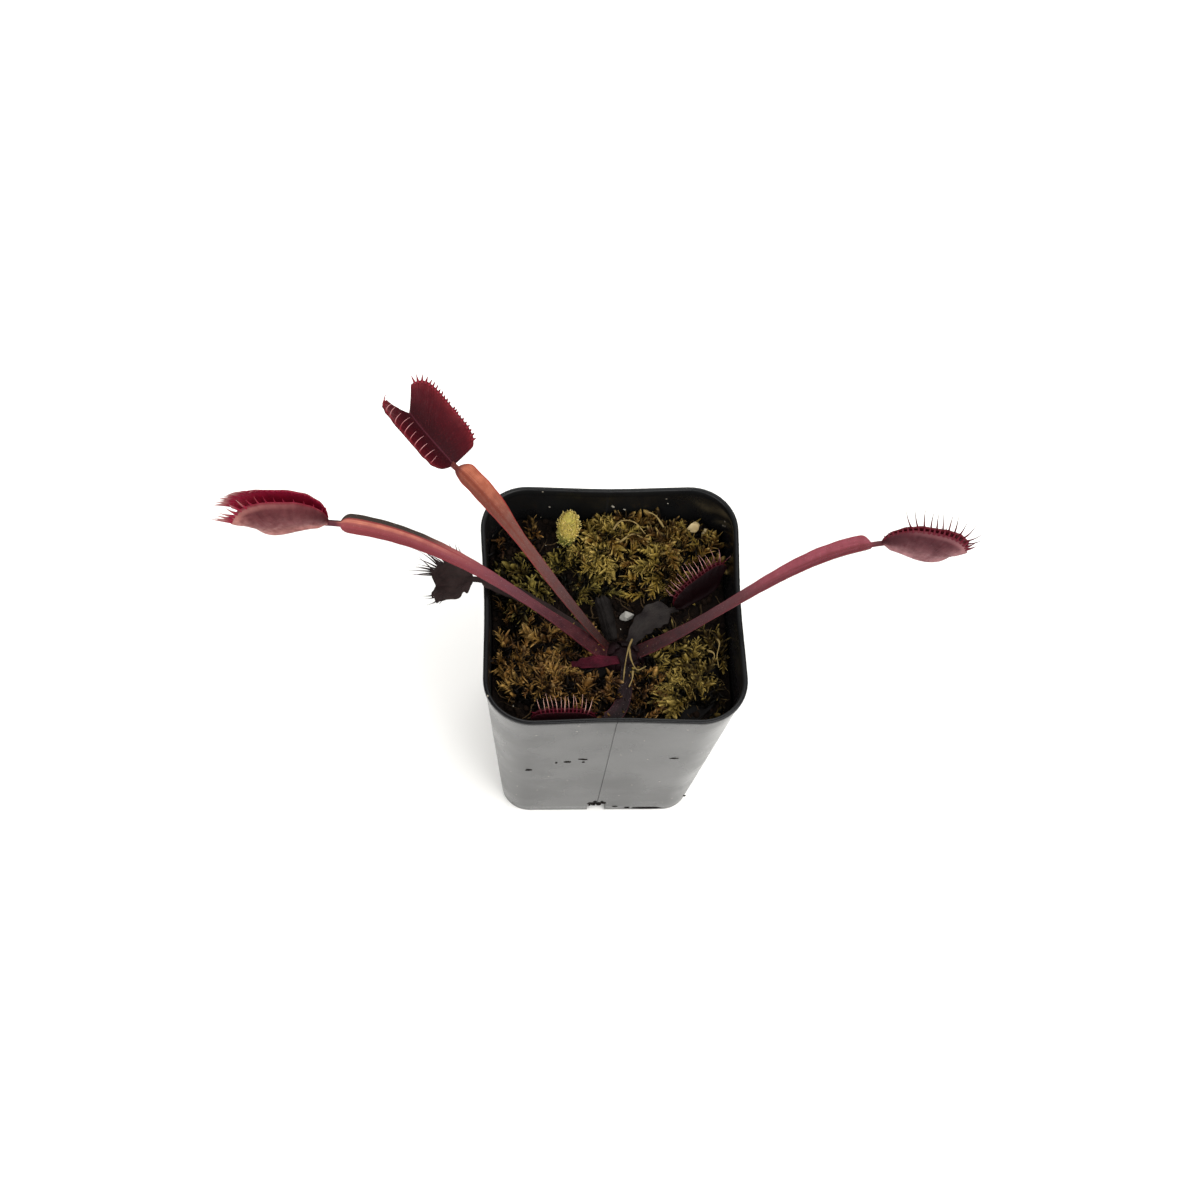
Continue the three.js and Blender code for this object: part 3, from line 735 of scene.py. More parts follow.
@dataclass(frozen=True)
class Skin:
    """A finish, which is made into a material once."""

    name: str

    @cache
    def material(self) -> bpy.types.Material:
        """Returns the material."""
        finish = Finish(self.name)
        self.dress(finish)
        return finish.material

    def dress(self, finish: Finish) -> None:
        """Adds the finish's own nodes to the material."""
        raise NotImplementedError


@dataclass(frozen=True)
class PotPlastic(Skin):
    """Black moulded plastic with a soft sheen, a fine moulding grain and a little dust."""

    name: str = "pot_plastic"
    base: str = "0b0b0c"
    haze: str = "131313"
    dust: str = "8c8476"
    gloss: tuple[float, float] = (0.2, 0.34)
    seam_width: float = 0.18
    bead_from: float = 73.4
    bead_to: float = 74.6

    def dress(self, finish: Finish) -> None:
        """Adds haze, the seams and dust, and dulls the bead of the rim."""
        clouds, grain = finish.mottled(60, 2.5), finish.mottled(1800, 1.5, 2)
        x, y, z = finish.split(finish.place)
        line = finish.span(finish.maths("ABSOLUTE", x), self.seam_width * MM, 0.08 * MM, 0.0, 0.6)
        seam = finish.times(line, finish.maths("GREATER_THAN", finish.maths("ABSOLUTE", y), 20 * MM))
        dots = finish.specked(420, 0.09, 0.25)
        finish.set(
            Base_Color=finish.layered(self.base, (clouds, self.haze), (seam, self.base), (dots, self.dust)),
            IOR=1.5,
            Roughness=finish.maths("ADD", finish.span(clouds, 0, 1, *self.gloss), finish.times(seam, 0.5)),
            Specular_IOR_Level=finish.span(z, self.bead_from * MM, self.bead_to * MM, 0.56, 0.16),
        )
        finish.relief(grain, 0.01, 0.5)


@dataclass(frozen=True)
class Crumbly(Skin):
    """A dull loose material whose pieces differ in shade: peat, grit, fibres and chips."""

    dark: str
    light: str
    grain: float = 900.0
    depth: float = 0.15
    roughness: float = 0.9

    def dress(self, finish: Finish) -> None:
        """Blends dark to light by the piece's shade and its grain."""
        blotches = finish.mottled(self.grain, 2.5)
        share = finish.maths("MULTIPLY_ADD", finish.number("shade"), 0.6, finish.times(blotches, 0.4))
        finish.set(Base_Color=finish.blend(share, self.dark, self.light), Roughness=self.roughness,
                   Specular_IOR_Level=0.1)
        finish.relief(blotches, self.depth, 0.8)


@dataclass(frozen=True)
class MossFinish(Skin):
    """Moss with painted shade, nearly black at its roots, where it lies low and between clumps, and paler to
    the tips, partly its own growth and partly painted highlight; each strand of its own hue.
    """

    dark_tone_and_shade: str
    hues: tuple[str, str, str, str]
    tip: str
    shadow_gaps: float = 0.5
    rise: float = 0.0

    def dress(self, finish: Finish) -> None:
        """Picks the hue by patch and strand, paints shade downwards and between clumps, and paints the pale
        tips, partly painted highlight.
        """
        patches, fine = finish.mottled(190, 2.5, 2), finish.mottled(1500, 2.5, 2)
        # Painted shade: dark spaces between clumps, where the moss would lie in shadow.
        shadow_gaps = finish.times(finish.mottled(330, 5, 3), self.shadow_gaps)
        height = finish.number("tip")
        strand = finish.times(finish.number("shade"), 0.65)
        share = finish.maths("ADD", finish.times(patches, 0.35), strand)
        share = finish.maths("MULTIPLY_ADD", finish.maths("SUBTRACT", height, 0.7), self.rise, share)
        hue = finish.ramp(share, (0.1, 0.4, 0.65, 0.9), self.hues)
        rise = finish.maths("SUBTRACT", height, shadow_gaps)
        blade = finish.span(finish.number("blade"), 0.45, 1.0)
        # The dark tone is painted shade where the moss lies low and between clumps, and its own dark flecks
        # in the fine mottle; the pale tip colour is partly painted highlight on raised leaflets.
        body = finish.layered(
            self.dark_tone_and_shade, (finish.span(rise, 0.0, 0.6), hue), (shadow_gaps, self.dark_tone_and_shade),
            (finish.times(blade, finish.span(rise, 0.15, 0.9, 0.0, 0.55)), self.tip),
            (finish.times(fine, 0.55), self.dark_tone_and_shade),
        )
        finish.set(Base_Color=body, Roughness=0.6, Specular_IOR_Level=0.1)


class Side(Enum):
    """A side of a leaf, seen from its foot along the leaf."""

    LEFT = 1.0
    RIGHT = -1.0


@dataclass(frozen=True)
class StalkFinish(Skin):
    """The skin of a leaf stalk: its colours from foot to blade, painted lit and dim sides, channel, and
    back, a painted shade under the stalk and at its neck.
    """

    along: tuple[str, str, str, str, str]
    edge: str
    channel: str
    back: str
    lit: str
    dim: str
    sunny: Side = Side.RIGHT
    lit_from: tuple[float, float] = (0.35, 0.8)
    far_wing_tone_and_shade: str | None = None
    hairs: str = "a8908a"

    def dress(self, finish: Finish) -> None:
        """Lays painted light and shade, channel, blotches and lines over the stalk's colours."""
        span, times = finish.span, finish.times
        along, across, _ = finish.split(finish.growth())
        lines, blotches = finish.streaked(7, 30, 3), finish.mottled(520, 3)
        hairs = finish.specked(3000, 0.2, 0.3)
        side = finish.maths("MULTIPLY_ADD", across, 2.0, -1.0)
        out, towards = finish.maths("ABSOLUTE", side), times(side, self.sunny.value)
        grown = span(along, 0.25, 0.75)
        layers = [
            (times(span(towards, -0.3, 0.45), span(along, *self.lit_from)), self.lit),
            (times(span(towards, 0.0, -0.7), 0.75, grown), self.dim),
            (times(span(out, 0.3, 0.03), span(along, 0.4, 0.8), 0.7), self.channel),
            (times(blotches, span(grown, 0, 1, 0.15, 0.45)), self.channel),
            (times(lines, span(grown, 0, 1, 0.1, 0.35)), self.dim),
            (times(span(out, 0.86, 0.98), span(along, 0.3, 0.8, 0.25, 0.9)), self.edge),
        ]
        # The far wing's dark grey-green: partly its own colour and partly painted shade.
        if self.far_wing_tone_and_shade:
            beyond = span(times(side, -1.0), 0.52, 0.68)
            fold = span(finish.maths("ABSOLUTE", finish.maths("ADD", side, 0.56)), 0.1, 0.03)
            layers += [(times(beyond, span(along, 0.6, 0.74)), self.far_wing_tone_and_shade),
                       (times(fold, span(along, 0.5, 0.7), 0.7), self.edge)]
        # Painted shade: the back colour darkens the neck under the trap and the stalk's underside.
        layers += [(span(along, 0.96, 0.985, 0.0, 0.85), self.back),
                   (times(finish.number("under"), 0.75), self.back), (times(hairs, 0.3), self.hairs)]
        body = finish.ramp(along, (0.0, 0.2, 0.45, 0.7, 0.92), self.along)
        finish.set(Base_Color=finish.layered(body, *layers), Specular_IOR_Level=0.12,
                   Roughness=span(blotches, 0, 1, 0.42, 0.6))
        finish.flesh(0.08, (1.0, 0.35, 0.2), 0.5)
        finish.relief(finish.maths("ADD", lines, hairs), 0.08, 0.7)


@dataclass(frozen=True)
class TrapFinish(Skin):
    """The two skins of a trap: dusky outside with a paler keel and painted shade near the joint and over the
    body, red inside with a lighter margin.
    """

    outside: str
    keel: str
    end: str
    inside: str
    # The darkest tone: for blotches, the inner face by the midrib and the painted shade outside.
    depth: str
    margin: str
    midrib: str

    def dress(self, finish: Finish) -> None:
        """Builds the outer and the inner skin and picks one by the side of the lobe."""
        span, times = finish.span, finish.times
        along, across, _ = finish.split(finish.growth())
        veins, glands = finish.streaked(34, 2.5, 2.6), finish.specked(1900, 0.3, 0.7)
        blotches, clouds = finish.mottled(620, 3.2), finish.mottled(160, 2.4)
        # Painted shade: the outside darkens towards the joint and in a band over the lobe's body.
        near = times(span(along, 0.5, 0.05), span(across, 0.25, 0.7), 0.7)
        painted_body_shade = times(span(across, 0.35, 0.7), span(across, 0.95, 0.82), span(along, 0.95, 0.6, 0.0, 0.45))
        fringe = times(span(across, 0.8, 0.9), span(across, 0.99, 0.94), span(along, 0.3, 0.8, 0.0, 0.35))
        outer = finish.layered(
            self.outside, (span(across, 0.45, 0.0), self.keel), (span(along, 0.7, 1.0), self.end),
            (times(blotches, 0.55), self.depth), (times(clouds, 0.3), self.outside),
            (times(veins, 0.1), self.end), (near, self.depth), (painted_body_shade, self.depth), (fringe, self.end),
            (times(span(across, 0.94, 1.0), 0.35), self.inside),
        )
        band = times(span(across, 0.74, 0.97), span(veins, 0, 1, 0.35, 1.0))
        inner = finish.layered(
            self.depth, (span(across, 0.15, 0.85), self.inside), (times(glands, 0.25), self.margin),
            (times(blotches, 0.3), self.depth), (band, self.margin),
            (times(span(across, 0.035, 0.01), 0.8), self.midrib),
        )
        finish.set(Base_Color=finish.blend(finish.number("inner"), outer, inner),
                   Roughness=span(blotches, 0, 1, 0.4, 0.58), Specular_IOR_Level=0.08)
        finish.flesh(0.08, (1.0, 0.25, 0.2), 0.5)
        finish.relief(finish.maths("MULTIPLY_ADD", glands, 0.3, veins), 0.12, 0.6)


@dataclass(frozen=True)
class ToothFinish(Skin):
    """The teeth of a trap: the trap's colour at the root and paler to the tip."""

    root: str
    tip: str

    def dress(self, finish: Finish) -> None:
        """Blends root to tip along each tooth."""
        reach = finish.maths("MULTIPLY_ADD", finish.number("shade"), 0.25, finish.number("tip"))
        finish.set(Base_Color=finish.blend(finish.span(reach, 0.3, 0.95), self.root, self.tip),
                   Roughness=0.45, Specular_IOR_Level=0.1)
        finish.flesh(0.1, (1.0, 0.4, 0.3), 0.3)


@dataclass(frozen=True)
class Withered(Skin):
    """Dead or dark leaf tissue: wrinkled, with lighter worn patches."""

    dark: str
    light: str
    vein: str
    roughness: tuple[float, float] = (0.6, 0.85)

    def dress(self, finish: Finish) -> None:
        """Lays worn patches and veins over the dark tissue."""
        patches, wrinkles = finish.mottled(260, 2.6), finish.mottled(1100, 2.2)
        lines = finish.streaked(4, 26, 2.5)
        body = finish.layered(self.dark, (patches, self.light), (finish.times(lines, 0.35), self.vein))
        finish.set(Base_Color=body, Roughness=finish.span(patches, 0, 1, *self.roughness),
                   Specular_IOR_Level=0.08)
        finish.relief(finish.maths("MULTIPLY_ADD", wrinkles, 0.7, lines), 0.16, 0.8)


PEAT = Crumbly("peat", "060302", "1d120a", grain=700, depth=0.3)
GRIT = Crumbly("pale_grit", "7a7468", "c4beb0", grain=1500)
BARK = Crumbly("bark", "8c7446", "d8c496", grain=500, roughness=0.8)
PERLITE = Crumbly("perlite", "45433f", "a5a29b", grain=420, roughness=0.85)
STRAW = Crumbly("straw", "4a3c22", "8c784c", roughness=0.7)
ROOT_FIBRE = Crumbly("root_fibre", "120b06", "54432c", roughness=0.85)
LITTER = MossFinish("leaf_litter", "080402", ("1a0e05", "2e1c0c", "4a3214", "5c4a20"), "7a6234")
GOLDEN = MossFinish("golden_moss", "060300", ("3a240e", "70501e", "8c7430", "b0984c"), "d0b46c")
OLIVE = MossFinish("olive_moss", "050401", ("261c0c", "4c3c18", "706028", "90803e"), "b4a45c")
UMBER = MossFinish("umber_moss", "050201", ("2e190b", "64421e", "86602c", "a88446"), "c4a068")
LIME = MossFinish("lime_moss", "050301", ("1e1208", "4c3a16", "786228", "a8904a"), "c4ac64")
# Painted shade: a near-black bed that stands for the shade inside each cushion.
SHADED_MOSS_BED = MossFinish("moss_bed", "040201", ("080402", "0e0703", "140b05", "1c1008"), "1c1008")
PALE_MOSS = MossFinish("pale_moss", "4c4a16", ("7c8a44", "a09c4c", "ccb45c", "dcc06c"), "ecdca0",
                       shadow_gaps=0.1, rise=1.1)
DARK_BLADE = Withered("dark_blade", "131110", "2c2926", "201315", (0.5, 0.7))
DEAD_TISSUE = Withered("dead_tissue", "14100f", "302826", "382020")
YOUNG_LEAF = Withered("young_leaf_skin", "1e050c", "46101e", "300812", (0.4, 0.6))
# Painted shade: the crown's near-black tone stands for the shade among the leaf feet.
CROWN_TISSUE = Withered("crown_tissue", "080304", "1a090c", "100506", (0.5, 0.7))
STUMP_TISSUE = Withered("stump_tissue", "0c0a09", "24211f", "171110")


# ---- pot ----

@dataclass
class Pot:
    """The square nursery pot with its rolled rim, mould seams, drain notches and drain holes."""

    height: float = 76.2
    top: float = 63.5
    base: float = 48.8
    rim_radius: float = 11.6
    base_radius: float = 7.1
    rim_bow: float = 0.7
    wall: float = 0.9
    floor: float = 1.4
    bead_height: float = 1.8
    bead_step: float = 0.35
    foot_bevel: float = 0.5
    seam: float = 0.1
    notch: Triple = (4.5, 4.6, 7.4)
    hole_radius: float = 3.0
    hole_offset: float = 13.5
    corner_steps: int = 14
    side_spots: tuple[float, ...] = (-0.75, -0.5, -0.25, -0.02, -0.008, 0.0, 0.008, 0.02, 0.25, 0.5, 0.75)

    def half(self, z: float) -> float:
        """Returns half the outer side of the pot at a height, without the rim's bead."""
        return mix(self.base, self.top - 2 * self.bead_step, z / self.height) / 2

    def corner(self, z: float) -> float:
        """Returns the outer radius of the corners at a height."""
        return mix(self.base_radius, self.rim_radius, z / self.height)

    def face(self, x: float, z: float) -> float:
        """Returns how far the outer face of a side lies from the axis at a place on it."""
        half = self.half(z)
        return half - self.rim_bow * (z / self.height) ** 2 * math.cos(2 * math.atan2(half, x)) ** 2

    def within(self, points: np.ndarray, gap: float) -> np.ndarray:
        """Returns points moved so that they keep a gap to the inner wall above the soil."""
        z = SOIL_LEVEL + 3
        radius = self.corner(z) - self.wall - gap
        core = self.half(z) - self.wall - gap - radius
        held = np.clip(points[:, :2], -core, core)
        over = points[:, :2] - held
        reach = np.maximum(np.linalg.norm(over, axis=1, keepdims=True), 1e-6)
        return np.column_stack([held + over * np.minimum(1, radius / reach), points[:, 2]])

    def ring(self, z: float, inset: float, seam: float = 0.0) -> np.ndarray:
        """Returns the outline at a height.

        Args:
            z: the height.
            inset: how far the outline lies inside the outer skin.
            seam: how far the mould seams of the front and the back stand out.

        Returns:
            The points of one closed ring.
        """
        half = self.half(z) - inset
        radius = max(self.corner(z) - inset, 1.0)
        corner, bow = half - radius, self.rim_bow * (z / self.height) ** 2
        points = []
        for quarter in range(4):
            c, s = math.cos(quarter * math.pi / 2), math.sin(quarter * math.pi / 2)
            out = seam if quarter % 2 else 0.0
            side = [(half + (out if spot == 0 else 0), spot * corner) for spot in self.side_spots]
            bend = [(corner + radius * math.cos(a), corner + radius * math.sin(a))
                    for a in np.linspace(0, math.pi / 2, self.corner_steps)]
            plan = np.array(side + bend)
            drawn = 1 - (bow / half) * np.cos(2 * np.arctan2(plan[:, 1], plan[:, 0])) ** 2
            points.append((plan * drawn[:, None]) @ np.array([[c, s], [-s, c]]))
        flat = np.vstack(points)
        return np.column_stack([flat, np.full(len(flat), z)])

    def shell(self) -> Piece:
        """Returns the moulded shell, still without its drain openings."""
        lip, bead, step = self.height, self.height - self.bead_height, self.bead_step
        rows = [(0.0, 0.5), (0.12, 0.2), (0.45, 0.0, self.seam)]
        rows += [(z, 0.0, self.seam) for z in np.linspace(4, bead - 0.9, 12)]
        rows += [(bead - 0.35, 0.0), (bead - 0.1, -0.5 * step), (bead + 0.25, -step),
                 (lip - 0.55, -step), (lip - 0.2, -0.8 * step), (lip - 0.03, -0.2 * step), (lip, 0.3),
                 (lip - 0.05, 0.62), (lip - 0.3, self.wall - 0.05)]
        rows += [(z, self.wall) for z in np.linspace(bead, self.floor + 1.2, 10)]
        rows += [(self.floor + 0.25, self.wall + 0.2), (self.floor, self.wall + self.foot_bevel)]
        rings = [self.ring(*row) for row in rows]
        under = [rings[0] * (share, share, 1) for share in (0.4, 0.8)]
        floor = [rings[-1] * (share, share, 1) for share in (0.8, 0.4)]
        return loft("pot_shell", under + rings + floor)

    def openings(self) -> list[Piece]:
        """Returns the cutters of the four drain notches and the four drain holes."""
        cutters = []
        depth, width, height = (size * MM for size in self.notch)
        reach, radius = self.hole_offset * MM, self.hole_radius * MM
        for quarter in range(4):
            turn = Matrix.Rotation(quarter * math.pi / 2, 4, "Z")
            size = Matrix.Diagonal((depth * 2, width, height * 2, 1))
            box, hole = bmesh.new(), bmesh.new()
            at = Matrix.Translation((self.base / 2 * MM, 0, 0))
            bmesh.ops.create_cube(box, size=1.0, matrix=turn @ at @ size)
            bmesh.ops.create_cone(
                hole, cap_ends=True, segments=48, radius1=radius, radius2=radius,
                depth=self.floor * 4 * MM, matrix=turn @ Matrix.Translation((reach, reach, 0)),
            )
            cutters += [modelled(made, bpy.data.meshes.new("drain_cutter")) for made in (box, hole)]
        return cutters

    def build(self) -> None:
        """Makes the pot."""
        blank, cutters = self.shell(), join(self.openings(), "drain_cutters")
        cut = blank.modifiers.new("drains", "BOOLEAN")
        cut.operation, cut.object, cut.solver = "DIFFERENCE", cutters, "EXACT"
        pot = settle(blank, "pot_shell")
        bpy.data.objects.remove(cutters)
        pot.data.set_sharp_from_angle(angle=math.radians(40))
        finished(pot, PotPlastic(), "pot_plastic", "pot")


# ---- soil ----

@dataclass
class RootBall:
    """The plug of dark peat that fills the pot, its crumbs and what lies strewn on it."""

    pot: Pot
    edge: float = 3.0
    rings: int = 64

    def build(self) -> None:
        """Makes the plug, crumbs, grit and litter."""
        pot = self.pot
        skin, foot = pot.wall + GAP, pot.floor + GAP
        side = [pot.ring(foot, skin + 0.5), pot.ring(foot + 1.0, skin)]
        side += [pot.ring(z, skin) for z in np.linspace(12, SOIL_LEVEL - self.edge, 5)]
        top = []
        for share in np.linspace(1.0, 0.02, self.rings):
            ring = pot.ring(SOIL_LEVEL, skin) * (share, share, 1)
            ring[:, 2] = soil_under(ring)
            coarse = wobble(ring, 3.2, 4.0) * 0.7 + wobble(ring, 1.1, 9.0) * 0.35
            ring[:, 2] += min(1.0, (1 - share) * 12) * (coarse - 0.1)
            top.append(ring)
        finished(loft("peat_plug", side + top), PEAT, "peat", "growing_medium")
        surface = bpy.data.meshes.new("soil_surface")
        faces = [face[::-1] for face in ring_faces(len(top) - 1, len(top[0]))]
        surface.from_pydata((np.vstack(top[1:]) * MM).tolist(), [], faces)
        for name, skin, slot, form, density, smallest, largest, rough, upright, seed in (
            ("peat_crumbs", PEAT, "peat", Form.CRUMB, 3.6e5, 0.5, 1.9, 0.5, 0.5, 4),
            ("pale_grit", GRIT, "perlite", Form.CRUMB, 9e3, 0.25, 0.7, 0.2, 0.5, 21),
            ("leaf_litter", LITTER, "brown_moss", Form.LEAFLET, 2.4e5, 0.8, 2.0, 0.2, 0.2, 8),
        ):
            strewn = scattering(form).run(
                link(name, surface.copy()), name, skin, density=density, smallest=smallest * MM,
                largest=largest * MM, roughness=rough * MM, upright=upright, seed=seed,
            )
            finished(strewn, None, slot)


CLEARINGS: tuple[Triple, ...] = (
    (22.4, 25.4, 3.4), (4.2, 1.3, 4.0), (10.5, -0.5, 5.5), (3.0, -8.8, 6.2), (-1.2, 0.0, 4.5),
    (-9.9, 23.6, 4.0), (-4.5, -12.5, 3.0), (3.2, -18.0, 2.4), (3.4, -23.5, 3.2), (13.0, 2.4, 4.4),
)


@dataclass
class MossCushion:
    """One cushion of moss: leafy strands that rise from the soil and lean outwards."""

    name: str
    x: float
    y: float
    rx: float
    ry: float
    turn: float
    height: float
    strands: int
    seed: int
    skin: MossFinish
    slot: str = "brown_moss"
    reach: float = 6.5
    size: float = 1.0
    node: bool = True
    steps: int = 8
    wall_gap: float = 2.4

    def spot(self, angle: np.ndarray, reach: np.ndarray) -> np.ndarray:
        """Returns the plan point at an angle and a share of the way to the cushion's edge."""
        wave = 1 + 0.1 * np.sin(3 * angle + self.seed) + 0.06 * np.sin(5 * angle - self.seed)
        u, v = self.rx * reach * wave * np.cos(angle), self.ry * reach * wave * np.sin(angle)
        c, s = math.cos(math.radians(self.turn)), math.sin(math.radians(self.turn))
        return np.column_stack([self.x + u * c - v * s, self.y + u * s + v * c])

    def bed(self) -> Piece:
        """Returns the low core that closes the cushion from below, in a near-black finish of painted shade.
        """
        angles, rings = round_angles(40), []
        for share, rise in ((0.9, -1.2), (0.98, 0.1), (0.92, 0.2), (0.75, 0.35), (0.5, 0.45), (0.2, 0.5)):
            plan = self.spot(angles, np.full(40, share))
            ring = np.column_stack([plan, soil_under(plan) + (rise * self.height if rise > 0 else rise)])
            ring[:, 2] += 0.5 * wobble(ring, 2.0, self.seed) * (rise > 0)
            rings.append(ring)
        core = loft(f"{self.name}_bed", rings)
        store(core, "tip", np.full(len(core.data.vertices), 0.2))
        return core

    def strand(self, number: int, root: np.ndarray, clump: float, random: np.random.Generator) -> np.ndarray:
        """Returns the path of one strand.

        Args:
            number: the strand's number, which sways it.
            root: where it leaves the soil.
            clump: the cushion's thickness there, from -1 to 1.
            random: draws its lean, fall and length.

        Returns:
            The points of its guide.
        """
        lean = 2.5 * math.pi * clump + random.uniform(-1.1, 1.1)
        outward = np.array([math.cos(lean), math.sin(lean), 0.0])
        sideways = np.array([-outward[1], outward[0], 0.0]) * random.uniform(-0.9, 0.9)
        first, last = random.uniform(0.1, 0.7), random.uniform(1.3, 2.2)
        length = self.reach * random.uniform(0.6, 1.35)
        line = [np.array([*root, ground(*root) - 0.6 + 1.1 * clump])]
        for i in range(self.steps):
            share = (i + 0.5) / self.steps
            fall = mix(first, last, share)
            drift = sideways * (share + 0.5 * math.sin(5 * share + number))
            step = np.array([0, 0, math.cos(fall)]) + (outward + drift) * math.sin(fall)
            line.append(line[-1] + unit(step) * length / self.steps)
        return np.array(line)

    def guides(self, pot: Pot) -> Piece:
        """Returns the strands' guides.

        Args:
            pot: the pot, whose wall no strand passes.

        Returns:
            The object of guides with girth, tip and shade.
        """
        random = np.random.default_rng(self.seed)
        tries = int(2.4 * self.strands)
        roots = self.spot(random.uniform(0, TURN, tries), 0.97 * np.sqrt(random.uniform(0, 1, tries)))
        clump = wobble(np.column_stack([roots, np.zeros(tries)]), 3.4, self.seed)
        barred = sum(np.hypot(roots[:, 0] - x, roots[:, 1] - y) < r for x, y, r in CLEARINGS) > 0
        chosen = np.argsort(-clump - random.normal(0, 0.22, tries) + 9 * barred)[:self.strands]
        chosen = chosen[~barred[chosen]]
        roots, clump = roots[chosen], clump[chosen]
        cast = wobble(np.column_stack([roots, np.zeros(len(roots))]), 5.0, self.seed + 50)
        lines, girths, tips, shades = [], [], [], []
        along = np.linspace(0, 1, self.steps + 1)
        for k, root in enumerate(roots):
            path = pot.within(self.strand(k, root, clump[k], random), self.wall_gap)
            for x, y, r in CLEARINGS:
                low = np.hypot(path[:, 0] - x, path[:, 1] - y) < r
                path[low, 2] = np.minimum(path[low, 2], soil_under(path[low]) + 0.3)
            path[:, 2] = np.maximum(path[:, 2], soil_under(path) - 0.3)
            lines.append(path)
            flare = random.uniform(-0.45, 0.35)
            taper = (1 + flare * along) * (1 - 0.5 * along ** 4)
            girths.append(self.size * random.uniform(0.7, 1.25) * taper)
            # Painted shade: tip rises with the height above the soil, so that the moss finish darkens the
            # parts that lie low.
            tips.append(0.4 * along + 0.6 * np.clip((path[:, 2] - soil_under(path) - 0.3) / 3.2, 0, 1))
            shade = np.clip(0.5 + 1.3 * cast[k] + random.normal(0, 0.17), 0, 1)
            shades.append(np.full(self.steps + 1, shade))
        return polylines(self.name, lines, girth=girths, tip=tips, shade=shades)

    def build(self, pot: Pot) -> None:
        """Makes the cushion's strands and, where it is a node of its own, its bed."""
        strands = leafy_strands().run(
            self.guides(pot), f"{self.name}_strands", self.skin, spacing=0.46 * MM,
            leaflet_length=2.7 * MM, leaflet_width=1.25 * MM, tilt=0.5, stem=0.2 * MM, seed=self.seed,
        )
        finished(strands, None, self.slot, *((self.name,) if self.node else ()))
        if self.node:
            finished(self.bed(), SHADED_MOSS_BED, self.slot)


@dataclass
class SphagnumHead:
    """The pale head of sphagnum: a fat bud covered by short pointed leaves."""

    x: float = -9.9
    y: float = 23.6
    radius: float = 2.95
    height: float = 12.6
    lean: float = 2.8

    def build(self) -> None:
        """Makes the bud with its leaves."""
        foot = ground(self.x, self.y) - 0.6
        angles, rings = round_angles(36), []
        outward = np.column_stack([np.cos(angles), np.sin(angles)])
        for t in np.linspace(0.02, 0.995, 22):
            belly = self.radius * (0.5 + 0.5 * math.sin(math.pi * min(t * 1.05, 1) ** 1.2))
            reach = belly * math.sqrt(max(1 - max((t - 0.55) / 0.45, 0) ** 2, 0.01)) * 0.92
            middle = (self.x + 0.4 * t, self.y - 1 + self.lean * t)
            ring = np.column_stack([middle + reach * outward, np.full(36, foot + t * (self.height - 0.5))])
            ring[:, :2] += 0.3 * wobble(ring, 1.3, 3.0)[:, None] * outward
            rings.append(ring)
        core = loft("sphagnum_core", rings)
        points = corners_of(core)
        store(core, "tip", np.clip(0.5 + (points[:, 2] - foot) / self.height, 0, 1))
        store(core, "blade", np.full(len(points), 0.3))
        head = scattering(Form.LEAFLET).run(
            core, "sphagnum_bud", PALE_MOSS, density=3.4e6, smallest=0.5 * MM, largest=1.0 * MM,
            roughness=0.1 * MM, upright=3.5, seed=5, keep_surface=True,
        )
        finished(head, None, "pale_moss", "sphagnum_head")


@dataclass
class Grain:
    """A loose chip or grain that lies on the soil."""

    name: str
    skin: Crumbly
    x: float
    y: float
    size: Triple
    turn: float
    seed: int
    node: bool = True

    def build(self) -> None:
        """Makes the grain as a broken lump."""
        lump = bmesh.new()
        bmesh.ops.create_icosphere(lump, subdivisions=4, radius=0.5)
        random = np.random.default_rng(self.seed)
        flats = unit(random.normal(size=(9, 3)))
        depths = random.uniform(0.22, 0.4, 9)
        spin = Matrix.Rotation(self.turn, 3, "Z")
        rest = Vector((self.x, self.y, ground(self.x, self.y) + 0.42 * self.size[2]))
        for vertex in lump.verts:
            place = np.array(vertex.co)
            for flat, depth in zip(flats, depths):
                place = place - flat * max(place @ flat - depth, 0)
            rough = 1 + 0.07 * noise.noise(Vector(place) * 6 + Vector((self.seed, 0, 0)))
            vertex.co = (spin @ Vector(place * self.size * rough) + rest) * MM
        piece = modelled(lump, bpy.data.meshes.new(f"{self.name}_lump"))
        store(piece, "shade", np.full(len(piece.data.vertices), 0.5))
        finished(piece, self.skin, self.skin.name, *((self.name,) if self.node else ()))


# ---- leaves ----

